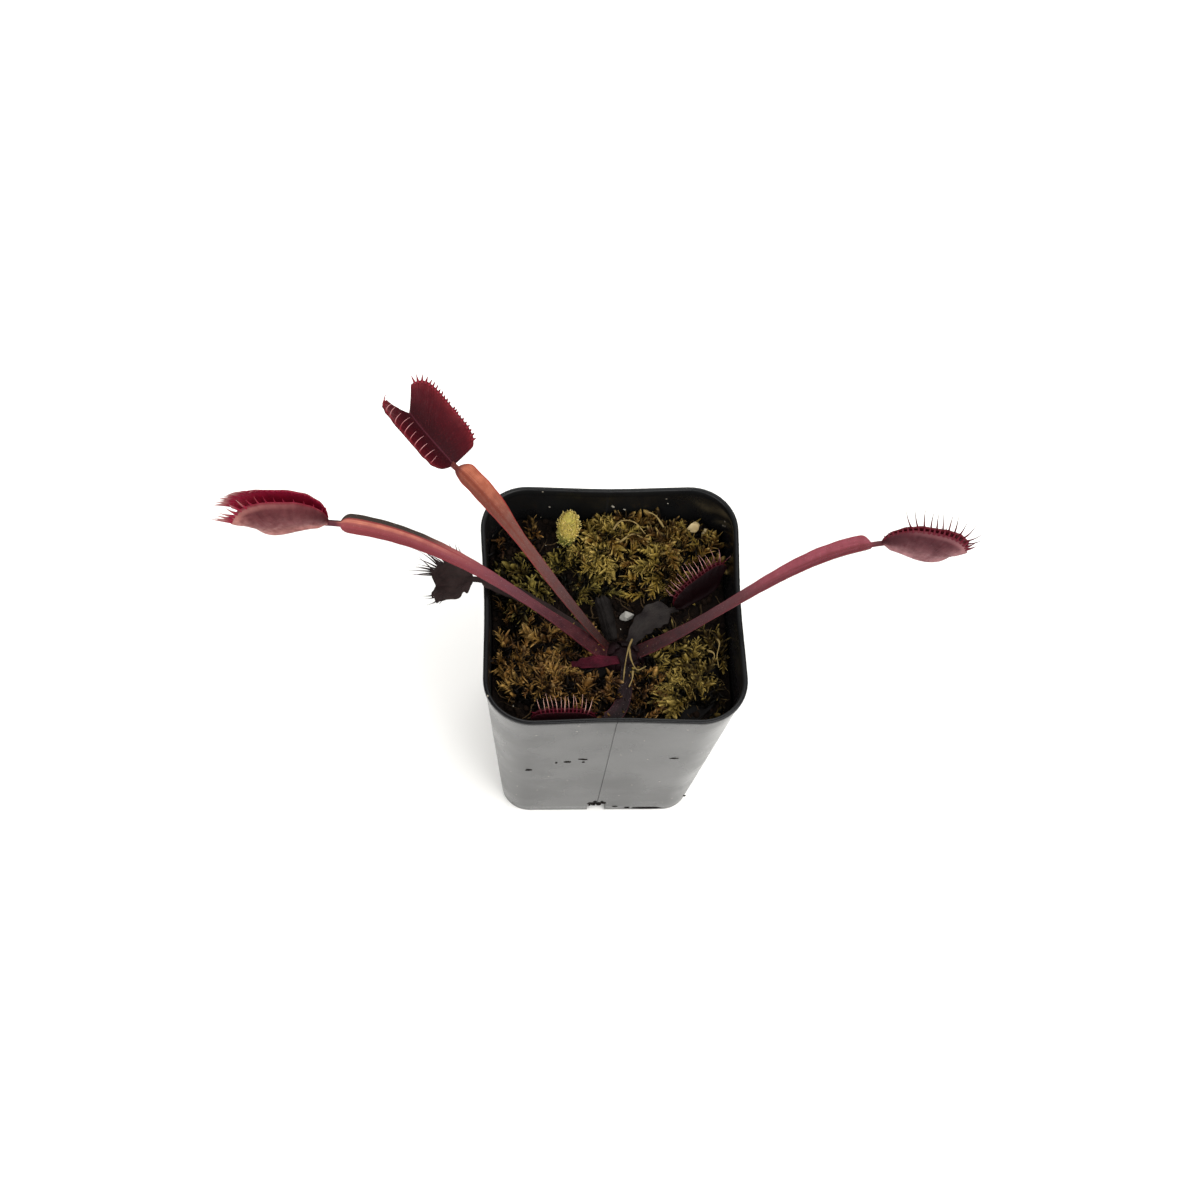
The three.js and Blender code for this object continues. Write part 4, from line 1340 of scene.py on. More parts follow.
@dataclass
class CentreLine:
    """The line that a stalk follows, with its places and directions."""

    points: np.ndarray

    @classmethod
    def grown(cls, base: Triple, heading: Triple, rise: Triple, length: float,
              steps: int = 240) -> "CentreLine":
        """Returns the line that leaves a base and turns as its heading and rise say."""
        s = (np.arange(steps) + 0.5) / steps
        turn, climb = np.radians(through(heading, s)), np.radians(through(rise, s))
        step = np.column_stack([np.cos(turn) * np.cos(climb), np.sin(turn) * np.cos(climb), np.sin(climb)])
        places = np.vstack([np.zeros(3), np.cumsum(step * length / steps, axis=0)])
        return cls(places + np.array(base))

    @classmethod
    def routed(cls, stops: Sequence[Triple], steps: int = 40) -> "CentreLine":
        """Returns the smooth line through a list of stops."""
        knots = np.array(stops)
        knots = np.vstack([2 * knots[0] - knots[1], knots, 2 * knots[-1] - knots[-2]])
        places = [
            0.5 * (2 * b + (c - a) * t + (2 * a - 5 * b + 4 * c - d) * t ** 2
                   + (3 * b - a - 3 * c + d) * t ** 3)
            for a, b, c, d in zip(knots, knots[1:], knots[2:], knots[3:]) for t in np.arange(steps) / steps
        ]
        return cls(np.array(places + [knots[-2]]))

    @property
    def length(self) -> float:
        """The line's length."""
        return float(np.linalg.norm(np.diff(self.points, axis=0), axis=1).sum())

    def at(self, s: float) -> tuple[np.ndarray, np.ndarray]:
        """Returns the place and the direction at s from 0 to 1."""
        steps = np.diff(self.points, axis=0, prepend=self.points[:1])
        run = np.cumsum(np.linalg.norm(steps, axis=1))
        place, ahead, behind = (
            np.array([np.interp(spot, run / run[-1], column) for column in self.points.T])
            for spot in (s, min(s + 0.02, 1), max(s - 0.02, 0))
        )
        return place, unit(ahead - behind)


@dataclass
class Stalk:
    """A winged leaf stalk: a keel below and two wings raised to a shallow channel."""

    line: CentreLine
    foot: float
    waist: float
    waist_at: float
    blade: float
    blade_at: float
    neck: float
    vee: float
    bank: float = 0.0
    root: float = 2.5
    joint: float = 0.9
    wave: float = 0.05
    ragged: float = 0.0
    wing: float = 0.55
    neck_width: float = 1.45
    seed: float = 1.0
    around: int = 44
    edge_power: float = 0.75

    @property
    def ends(self) -> tuple[float, float]:
        """Where the blade starts to round off and where the neck starts, from 0 to 1."""
        neck_at = 1 - self.neck / self.line.length
        return neck_at - 0.5 * self.blade / self.line.length, neck_at

    def width(self, s: float) -> float:
        """Returns the stalk's width at s from 0 to 1."""
        shoulder, neck_at = self.ends
        if s >= neck_at:
            return self.neck_width
        width = mix(self.foot, self.waist, smooth(s / self.waist_at))
        if s > self.waist_at:
            share = smooth((s - self.waist_at) / (self.blade_at - self.waist_at))
            width = mix(self.waist, self.blade, share)
        if s > shoulder:
            t = (s - shoulder) / (neck_at - shoulder)
            width = max(self.neck_width, width * math.sqrt(1 - t * t))
        return width

    def section(self, s: float) -> np.ndarray:
        """Returns the outline of the stalk at s, which is below 0 in its root."""
        held, length = min(max(s, 0.0), 1.0), self.line.length
        place, along = self.line.at(held)
        place = place + along * (s - held) * length
        turn = Matrix.Rotation(math.radians(self.bank) * float(smooth(held)), 3, Vector(along))
        left = np.array(turn @ Vector(unit(np.array([-along[1], along[0], 0.0]))))
        up = np.cross(along, left)
        width = self.width(held)
        half = width / 2
        flat = min(max((width - self.neck_width) / 3, 0), 1)
        lift = half * math.tan(math.radians(self.vee)) * flat * float(smooth(held * 3))
        keel = mix(0.42 * self.foot + 0.4, 1.1, float(smooth(held * 2.5))) * mix(0.7, 1, flat)
        angles = round_angles(self.around)
        a = powered(np.cos(angles), self.edge_power)
        side = np.abs(a)
        thick = (keel + 0.1) * (1 - side ** 2.2) + self.wing * side ** 2.2
        b = lift * side ** 1.74 - thick / 2 * (1 - powered(np.sin(angles), 0.5))
        ripple = self.wave * flat * side ** 3 * np.sin(held * length * 0.9 + 2 * np.sign(a) + self.seed)
        edge = 1 + 0.012 * side ** 4 * math.sin(held * length * 1.3 + self.seed)
        edge = edge + self.ragged * side ** 4 * np.sin(held * length * 2.1 + 3 * np.sign(a)) * flat
        return place + np.outer(a * half * edge, left) + np.outer(b + ripple, up)

    def mesh(self, name: str) -> Piece:
        """Returns the stalk as a piece that carries its own map and which points are under it, where shade
        is painted.
        """
        length = self.line.length
        shoulder, neck_at = self.ends
        rounding = 1 - np.sin(np.linspace(0, math.pi / 2, 12)[1:])
        stops = np.concatenate([
            [-self.root / length, -0.5 * self.root / length],
            np.linspace(0, shoulder, max(24, int(length * 1.6))),
            neck_at - (neck_at - shoulder) * rounding,
            np.linspace(neck_at, 1 + self.joint / length, 6)[1:],
        ])
        piece = loft(name, [self.section(s) for s in stops])
        angles = round_angles(self.around)
        across = (powered(np.cos(angles), self.edge_power) + 1) / 2
        below = np.clip(0.5 - 1.5 * np.sin(angles), 0, 1)
        store_map(piece, np.array([(max(s, 0), v) for s in stops for v in across] + [(0, 0.5), (1, 0.5)]))
        store(piece, "under", np.concatenate([np.tile(below, len(stops)), [0, 0]]))
        return piece


@dataclass
class TeethRow:
    """The teeth of one lobe, each value given at the joint, the middle and the tip of its edge."""

    count: int
    lengths: Triple
    hooks: Triple
    girth: float = 0.3
    swell: float = 0.0
    sweep: float = 0.0
    flare: float = 1.7
    first: float = 0.06
    last: float = 0.97
    crowd: float = 1.0


@dataclass
class Trap:
    """A trap: two lobes hinged on one midrib, with a row of teeth on each edge."""

    heading: float
    rise: float
    roll: float
    length: float
    width: float
    open: float
    curl: float
    sag: float
    sag_skew: float
    corner: float
    start: float
    left: TeethRow
    right: TeethRow
    seed: int = 1
    notch: float = 1.0
    far_corner: float = 0.5
    droop: tuple[float, float] = (0.0, 0.0)
    ragged: float = 0.0
    edge_sheet: float = 0.45
    body_sheet: float = 0.8
    midrib: float = 0.55
    crumple: float = 0.06
    scallops: int = 7
    lengthways: int = 72
    crossways: int = 96

    def lobe(self, u: np.ndarray, w: np.ndarray) -> np.ndarray:
        """Returns points of the inner face.

        Args:
            u: places from the joint (0) to the tip (1).
            w: places from one lobe's edge (-1) over the midrib (0) to the other's (1).

        Returns:
            The points, with X along the midrib and Z the way the trap opens.
        """
        v = np.abs(w)
        angle = np.radians(self.start + (10 - self.start) * u)
        power = np.where(angle > math.pi / 2, self.corner, self.far_corner)
        edge_x = self.length * (0.64 + 0.65 * powered(np.cos(angle), power))
        torn = 0.6 * np.sin(11 * u + 2.4 * np.sign(w) + self.seed) + 0.4 * np.sin(23 * u + self.seed)
        reach = v * self.width * np.abs(np.sin(angle)) ** power * (1 - self.ragged * (0.5 + 0.5 * torn))
        curl = math.radians(self.curl)
        first = math.radians(self.open) + curl / 2
        last = first - curl * v
        bend = np.maximum(curl * v, 1e-6)
        rise = (np.sin(first) - np.sin(last)) / bend
        spread = (np.cos(last) - np.cos(first)) / bend
        sag = self.sag * np.sin(math.pi * u ** self.sag_skew) * (1 - v) ** 1.5
        x = self.length * self.notch * u * (1 - v) + edge_x * v
        hang = np.where(w > 0, *self.droop) * smooth((u - 0.4) / 0.6) * v
        return np.stack([x, np.sign(w) * (reach * spread + hang), reach * rise - sag - 0.4 * hang], axis=-1)

    def normal(self, u: np.ndarray, w: np.ndarray) -> np.ndarray:
        """Returns the directions out of the trap's faces."""
        step = 0.01
        lengthways = self.lobe(np.minimum(u + step, 1), w) - self.lobe(np.maximum(u - step, 0), w)
        across = self.lobe(u, np.minimum(w + step, 1)) - self.lobe(u, np.maximum(w - step, -1))
        return unit(np.cross(across, lengthways))

    def placed(self, points: np.ndarray, joint: np.ndarray) -> np.ndarray:
        """Returns points turned and moved to the trap's joint."""
        turn = (
            Matrix.Rotation(math.radians(self.heading), 3, "Z")
            @ Matrix.Rotation(-math.radians(self.rise), 3, "Y")
            @ Matrix.Rotation(-math.radians(self.roll), 3, "X")
        )
        return (points + (GAP, 0, 0)) @ np.array(turn).T + joint

    def lobes(self, name: str, joint: np.ndarray) -> Piece:
        """Returns the two lobes as one closed sheet that carries its map and its inner side."""
        u = np.linspace(0, 1, self.lengthways)
        w = np.sin(np.linspace(-math.pi / 2, math.pi / 2, self.crossways))
        grid_u, grid_w = np.meshgrid(u, w, indexing="ij")
        v = np.abs(grid_w)
        inner, normal = self.lobe(grid_u, grid_w), self.normal(grid_u, grid_w)
        flat = inner.reshape(-1, 3)
        lumps = (wobble(flat, 2.6, self.seed) + 0.5 * wobble(flat, 1.1, self.seed + 7)).reshape(v.shape)
        scallop = np.sin(TURN * self.scallops * grid_u) * smooth((v - 0.72) / 0.28)
        inner = inner + normal * (self.crumple * lumps + 0.07 * scallop)[..., None]
        thick = self.body_sheet * (1 - v ** 2) + self.edge_sheet * v ** 2
        thick = thick + self.midrib * np.exp(-((grid_w / 0.12) ** 2))
        thick = thick * (0.4 + 0.6 * smooth(grid_u / 0.15))
        outer = inner + normal * thick[..., None]
        rows = self.placed(np.concatenate([outer, inner[:, ::-1]], axis=1), joint)
        piece = sheet(name, rows)
        across = np.concatenate([np.abs(w), np.abs(w[::-1])])
        store_map(piece, np.array([(x, y) for x in u for y in across]))
        store(piece, "inner", np.tile(np.repeat([0, 1], self.crossways), self.lengthways))
        return piece

    def stations(self, side: int, row: TeethRow) -> list[tuple[float, float]]:
        """Returns where the teeth of an edge stand.

        Args:
            side: the edge, 1 or -1.
            row: the teeth.

        Returns:
            Each tooth's share of the edge's length and its place u.
        """
        u = np.linspace(0.02, 1, 240)
        edge = self.lobe(u, np.full(240, float(side)))
        run = np.concatenate([[0.0], np.cumsum(np.linalg.norm(np.diff(edge, axis=0), axis=1))])
        steps = (np.arange(row.count) + 0.5 + 0.2 * side) / row.count
        shares = mix(row.first, row.last, 1 - (1 - steps) ** row.crowd)
        return list(zip(shares, np.interp(shares * run[-1], run, u)))

    def teeth(self, name: str, joint: np.ndarray) -> Piece:
        """Returns the guides of the teeth, with girth, tip and shade."""
        random = np.random.default_rng(self.seed)
        lines, girths, tips, shades = [], [], [], []
        along = np.linspace(0, 1, 8)
        for side, row in ((1, self.left), (-1, self.right)):
            edge = np.array(float(side))
            for share, u in self.stations(side, row):
                normal = self.normal(u, edge)
                ahead = unit(self.lobe(np.minimum(u + 0.02, 1), edge) - self.lobe(u - 0.02, edge))
                outward = unit(self.lobe(u, edge) - self.lobe(u, edge * 0.9))
                forward = np.array([2 * row.sweep * share, 0.0, 0.0])
                outward = unit(outward - 0.85 * ahead * (outward @ ahead) + forward)
                hook = math.radians(float(through(row.hooks, share)) * random.uniform(0.8, 1.2))
                length = float(through(row.lengths, share)) * random.uniform(0.8, 1.12)
                drift = unit(np.cross(outward, normal)) * random.uniform(-0.18, 0.18)
                line = [self.lobe(u, edge * 0.95) + normal * self.edge_sheet / 2]
                for t in along[1:]:
                    step = outward * math.cos(hook * t) - normal * math.sin(hook * t) + drift * t
                    line.append(line[-1] + unit(step) * (length + 0.4) / 7)
                lines.append(self.placed(np.array(line), joint))
                girth = row.girth * (1 + row.swell * float(smooth((share - 0.55) / 0.4)))
                girths.append(girth * MM * (0.08 + 0.92 * (1 - along) ** row.flare))
                tips.append(along * min(max((length - 1.6) / 1.4, 0.0), 1.0))
                shades.append(np.full(8, random.uniform(0, 1)))
        return polylines(name, lines, girth=girths, tip=tips, shade=shades)


@dataclass
class TrapLeaf:
    """A leaf: its stalk, and at the stalk's end its trap with its teeth."""

    stalk: Stalk
    trap: Trap
    skins: tuple[Skin, Skin, Skin]
    names: tuple[str, str, str]
    slots: tuple[str, str]
    nodes: tuple[str, str]
    tooth_sides: int = 7
    overlap: float = 0.0

    @classmethod
    def living(cls, name: str, stalk: Stalk, trap: Trap, skin: Skin, lobe_codes: Sequence[str],
               tooth_codes: Sequence[str], slot: str = "leaf_stalk") -> "TrapLeaf":
        """Returns a living leaf.

        Args:
            name: the leaf's name, with which its pieces' names begin.
            stalk: the stalk.
            trap: the trap.
            skin: the stalk's finish.
            lobe_codes: the colours of the trap's finish.
            tooth_codes: the colours of the teeth.
            slot: the stalk's slot.

        Returns:
            The leaf.
        """
        lobe_skin = TrapFinish(f"{name}_trap_skin", *lobe_codes)
        tooth_skin = ToothFinish(f"{name}_teeth_skin", *tooth_codes)
        names = (f"{name}_stalk", f"{name}_trap_lobes", f"{name}_trap_teeth")
        return cls(stalk, trap, (skin, lobe_skin, tooth_skin), names, (slot, "trap_skin"),
                   (f"{name}_petiole", f"{name}_trap"))

    def build(self) -> None:
        """Makes the stalk, the lobes and the teeth."""
        stalk_name, lobes_name, teeth_name = self.names
        skin, lobe_skin, tooth_skin = self.skins
        end, along = self.stalk.line.at(1.0)
        joint = end - along * self.overlap
        finished(self.stalk.mesh(stalk_name), skin, self.slots[0], self.nodes[0])
        finished(self.trap.lobes(lobes_name, joint), lobe_skin, self.slots[1], self.nodes[1])
        guides = self.trap.teeth(teeth_name, joint)
        teeth = tapered_tubes().run(guides, teeth_name, tooth_skin, sides=self.tooth_sides)
        finished(teeth, None, self.slots[1])


@dataclass
class Crown:
    """The crown: a squat bulb wrapped in the sheathing feet of old leaves."""

    x: float = 3.0
    y: float = -8.8
    z: float = 59.6
    width: float = 12.0
    depth: float = 9.2
    height: float = 14.0
    scales: int = 7

    def ring(self, t: float, reach: np.ndarray, angles: np.ndarray, lift: float = 0.0) -> np.ndarray:
        """Returns points round the bulb, t of the way from its foot to its top."""
        return np.column_stack([
            self.x + self.width / 2 * reach * np.cos(angles),
            self.y + self.depth / 2 * reach * np.sin(angles),
            np.full(len(angles), self.z - self.height / 2 * math.cos(t * math.pi) + lift),
        ])

    def bulb(self) -> Piece:
        """Returns the bulb."""
        angles = round_angles(48)
        return loft("crown_bulb", [
            self.ring(t, math.sin(t * math.pi) * (1 + 0.05 * np.cos(4 * angles)), angles)
            for t in np.linspace(0.08, 0.985, 26)
        ])

    def sheath(self, number: int) -> Piece:
        """Returns one old leaf foot that hugs the bulb and ends in a torn edge."""
        angle, spread = number * GOLDEN_ANGLE + 0.5, 0.75
        top = 0.86 + 0.06 * math.sin(number * 2.3)
        outer = []
        for t in np.linspace(0.45, top, 14):
            narrow = spread * (1 - 0.55 * smooth((t - 0.45) / (top - 0.45)))
            across = np.linspace(-narrow, narrow, 17) + angle
            reach = (math.sin(t * math.pi) ** 0.85 + 0.1) * (1 - 0.08 * ((across - angle) / spread) ** 2)
            outer.append(self.ring(t, reach, across, 0.4 * t))
        skin = np.array(outer)
        inward = unit((skin - (self.x, self.y, 0.0)) * (1, 1, 0)) * 0.5
        return loft(f"crown_sheath_{number}", np.concatenate([skin, (skin - inward)[:, ::-1]], axis=1))

    def build(self) -> None:
        """Makes the bulb and its sheaths as one piece."""
        crown = join([self.bulb()] + [self.sheath(k) for k in range(self.scales)], "crown_bases")
        points = corners_of(crown)
        angle = np.arctan2(points[:, 1] - self.y, points[:, 0] - self.x) / TURN
        store_map(crown, np.column_stack([(points[:, 2] - 50) / 20, angle]))
        finished(crown, CROWN_TISSUE, "crown_tissue", "crown")


@dataclass
class Stub:
    """The withered stump of an old leaf, split and dry at its top."""

    base: Triple = (0.4, -3.4, 63.0)
    tip: Triple = (-2.6, 3.4, 71.5)
    foot: float = 1.7
    top: float = 1.75
    steps: int = 30

    def build(self) -> None:
        """Makes the stump."""
        start, end = np.array(self.base), np.array(self.tip)
        along = unit(end - start)
        side = unit(np.cross([1.0, 0, 0], along))
        across = np.cross(along, side)
        angles, rings = round_angles(self.steps), []
        stops = np.linspace(0, 1, self.steps)
        for t in stops:
            radius = mix(self.foot, self.top, t) * (1 - 0.35 * smooth((t - 0.9) / 0.1))
            centre = start + (end - start) * t + across * t * (1 - t)
            fold = radius * (1 + 0.14 * np.sin(3 * angles + 2 * t) + 0.07 * np.sin(7 * angles))
            torn = 0.5 * np.sin(5 * angles) * smooth((t - 0.7) / 0.3)
            rings.append(
                centre + np.outer(mix(0.7, 0.4, t) * fold * np.cos(angles), side)
                + np.outer(fold * np.sin(angles), across) + np.outer(torn, along)
            )
        stump = loft("withered_stump", rings)
        places = [(t, k / self.steps) for t in stops for k in range(self.steps)]
        store_map(stump, np.array(places + [(0, 0), (1, 0)]))
        finished(stump, STUMP_TISSUE, "dead_tissue", "withered_stub")


# ---- loose details ----

STRAWS: tuple[tuple[Triple, ...], ...] = (
    ((5.0, -6.0, 68.0), (3.9, -9.0, 68.4), (3.1, -12.6, 67.6), (2.6, -16.4, 66.4)),
    ((4.2, -8.2, 68.0), (4.6, -11.2, 67.6), (6.0, -13.8, 67.4), (8.2, -12.8, 67.2)),
    ((5.0, -14.0, 67.0), (4.7, -16.2, 67.2), (3.9, -18.0, 66.6)),
    ((25.6, -4.6, 66.4), (26.2, -7.4, 68.6), (25.4, -10.8, 68.8), (25.9, -13.0, 66.8)),
    ((23.4, -8.6, 67.2), (24.8, -10.4, 68.6), (24.0, -13.4, 67.4)),
    ((1.0, 23.2, 67.4), (3.2, 25.4, 69.4), (6.6, 25.0, 69.8), (9.4, 22.4, 68.4)),
    ((3.0, 20.6, 67.6), (6.4, 21.8, 69.6), (10.2, 19.8, 68.8)),
    ((14.0, 24.6, 68.0), (12.0, 26.8, 69.8), (9.6, 27.6, 70.6)),
)
# Each fleck of peat on the front wall: x, z, width, height and tilt.
WALL_MARKS: tuple[tuple[float, ...], ...] = (
    (-19.2, 37.6, 1.7, 0.9, -20), (-12.7, 43.4, 0.7, 0.5, 0), (-10.0, 44.1, 1.9, 1.1, 0),
    (-6.4, 46.0, 2.6, 0.7, 12), (-6.0, 43.6, 0.8, 0.4, 0), (16.3, 46.9, 2.2, 0.5, -6),
    (22.2, 13.2, 0.7, 0.9, 0), (-1.5, 6.5, 1.9, 1.6, 0), (0.2, 6.8, 2.2, 1.5, 30),
    (1.6, 6.9, 1.5, 1.5, 0), (0.5, 5.3, 1.3, 1.2, 0), (-0.9, 5.2, 1.2, 1.0, 0),
    (-1.9, 4.8, 0.7, 0.6, 0), (4.9, 3.4, 1.5, 0.5, 0), (13.4, 1.5, 7.5, 0.5, 0),
    (8.2, 2.0, 1.4, 0.5, 0), (-0.6, 8.2, 1.1, 0.7, -30), (1.2, 8.1, 0.8, 0.6, 20),
)
# Each pale flake on the back wall: x, z and size.
WALL_FLAKES: tuple[Triple, ...] = (
    (1.5, 69.7, 1.3), (4.5, 68.3, 0.9), (-2.8, 64.6, 1.2), (15.1, 70.7, 0.35), (-14.2, 69.0, 0.5),
)


@dataclass
class Fibres:
    """Dry straw and root fibres that lie on the soil, and the specks on the pot's walls."""

    pot: Pot
    roots: int = 150
    speck_depth: float = 0.16

    def straw_tubes(self) -> None:
        """Makes the straws."""
        lines = [CentreLine.routed(stops, 6).points for stops in STRAWS]
        ends = [np.linspace(0, 1, len(line)) for line in lines]
        guides = polylines(
            "straw", lines, girth=[MM * 0.26 * (1 - 0.6 * t + 0.2 * np.sin(9 * t)) for t in ends],
            tip=ends, shade=[np.full(len(t), 0.4 + 0.1 * k) for k, t in enumerate(ends)],
        )
        finished(tapered_tubes().run(guides, "straw_fibres", STRAW, sides=7), None, "bark")

    def root_tubes(self) -> None:
        """Makes the fine dark roots and dead stems that cross the soil."""
        random = np.random.default_rng(77)
        lines = []
        for _ in range(self.roots):
            x, y = random.uniform(-27, 27, 2)
            turn = random.uniform(0, TURN)
            start = np.array([[x, y, ground(x, y) + random.uniform(0.2, 1.0)]])
            line = [self.pot.within(start, 1.0)[0]]
            for _ in range(7):
                turn += random.uniform(-0.6, 0.6)
                step = np.array([math.cos(turn), math.sin(turn), random.uniform(-0.35, 0.4)]) * 0.9
                point = self.pot.within((line[-1] + step)[None], 1.0)[0]
                point[2] = max(point[2], ground(point[0], point[1]) + 0.1)
                line.append(point)
            lines.append(np.array(line))
        ends = [np.linspace(0, 1, len(line)) for line in lines]
        guides = polylines(
            "roots", lines, girth=[MM * random.uniform(0.12, 0.34) * (1 - 0.7 * t) for t in ends],
            tip=ends, shade=[np.full(len(t), random.uniform(0, 1)) for t in ends],
        )
        finished(tapered_tubes().run(guides, "root_fibres", ROOT_FIBRE, sides=5), None, "brown_moss")

    def specks(self) -> None:
        """Makes the flat flecks of peat on the front wall and the pale flakes on the back wall."""
        pot = self.pot
        marks = [(x, -pot.face(x, z), z, w, h, tilt) for x, z, w, h, tilt in WALL_MARKS]
        flakes = [(x, pot.face(x, z) - pot.wall, z, s, 0.5 * s, 40 * s) for x, z, s in WALL_FLAKES]
        for name, slot, skin, spots in (
            ("wall_dirt", "peat", PEAT, marks), ("wall_flakes", "perlite", GRIT, flakes),
        ):
            flecks = bmesh.new()
            for x, y, z, width, height, tilt in spots:
                size = Matrix.Diagonal((width * MM / 2, self.speck_depth * MM, height * MM / 2, 1))
                place = Matrix.Translation((x * MM, y * MM, z * MM))
                turn = Matrix.Rotation(math.radians(tilt), 4, "Y")
                made = bmesh.ops.create_icosphere(flecks, subdivisions=3, radius=1.0)
                for vertex in made["verts"]:
                    rough = 1 + 0.35 * noise.noise(vertex.co * 2.2 + Vector((x, z, 0)))
                    vertex.co = place @ turn @ size @ (vertex.co * rough)
            finished(modelled(flecks, bpy.data.meshes.new(name)), skin, slot)

    def build(self) -> None:
        """Makes the straws, roots and specks."""
        self.straw_tubes()
        self.root_tubes()
        self.specks()


# ---- studio ----

@dataclass
class Studio:
    """The pale floor, the soft lights and the camera."""

    eye: Triple = (-49.5, -260.3, 627.2)
    right: Triple = (0.997, -0.033, 0.068)
    up: Triple = (0.001, 0.904, 0.428)
    back: Triple = (-0.076, -0.427, 0.901)
    focal: float = 76.27
    sensor: float = 36.0
    reach: float = 4.0
    paper: Colour = (0.93, 0.918, 0.885, 1)

    def floor(self) -> None:
        """Makes the wide pale floor."""
        mesh = bpy.data.meshes.new("floor")
        corners = [(x * self.reach, y * self.reach, 0) for x, y in ((-1, -1), (1, -1), (1, 1), (-1, 1))]
        mesh.from_pydata(corners, [], [(0, 1, 2, 3)])
        paper = bpy.data.materials.new("floor_paper")
        paper.use_nodes = True
        shader = paper.node_tree.nodes["Principled BSDF"]
        shader.inputs["Base Color"].default_value = self.paper
        shader.inputs["Roughness"].default_value = 0.85
        mesh.materials.append(paper)
        link("floor", mesh)

    def lamp(self, name: str, place: Triple, size: float, power: float) -> None:
        """Adds one soft square lamp, in metres, aimed at the plant."""
        data = bpy.data.lights.new(name, "AREA")
        data.size, data.energy = size, power
        lamp = link(name, data)
        lamp.location = place
        aim = Vector((0, 0, 0.07)) - Vector(place)
        lamp.rotation_euler = aim.to_track_quat("-Z", "Y").to_euler()

    def camera(self) -> None:
        """Places the camera where the photograph was taken from."""
        data = bpy.data.cameras.new("camera")
        data.lens, data.sensor_width = self.focal, self.sensor
        data.clip_start, data.clip_end = 0.01, 20.0
        camera = link("camera", data)
        turn = Matrix([self.right, self.up, self.back]).transposed()
        camera.matrix_world = Matrix.Translation(Vector(self.eye) * MM) @ turn.to_4x4()
        bpy.context.scene.camera = camera

    def build(self) -> None:
        """Sets up the whole studio."""
        scene = bpy.context.scene
        scene.world = bpy.data.worlds.new("studio")
        scene.world.use_nodes = True
        sky = scene.world.node_tree.nodes["Background"].inputs
        sky["Color"].default_value, sky["Strength"].default_value = (1.0, 1.0, 1.0, 1), 0.5
        scene.view_settings.view_transform = "Standard"
        self.floor()
        self.lamp("key_lamp", (0.55, -0.4, 1.2), 1.0, 17.0)
        self.lamp("left_lamp", (-0.9, -0.8, 1.0), 1.2, 15.0)
        self.lamp("rear_lamp", (0.1, 1.1, 1.0), 1.2, 12.0)
        self.camera()


# ---- the plant's own sizes ----

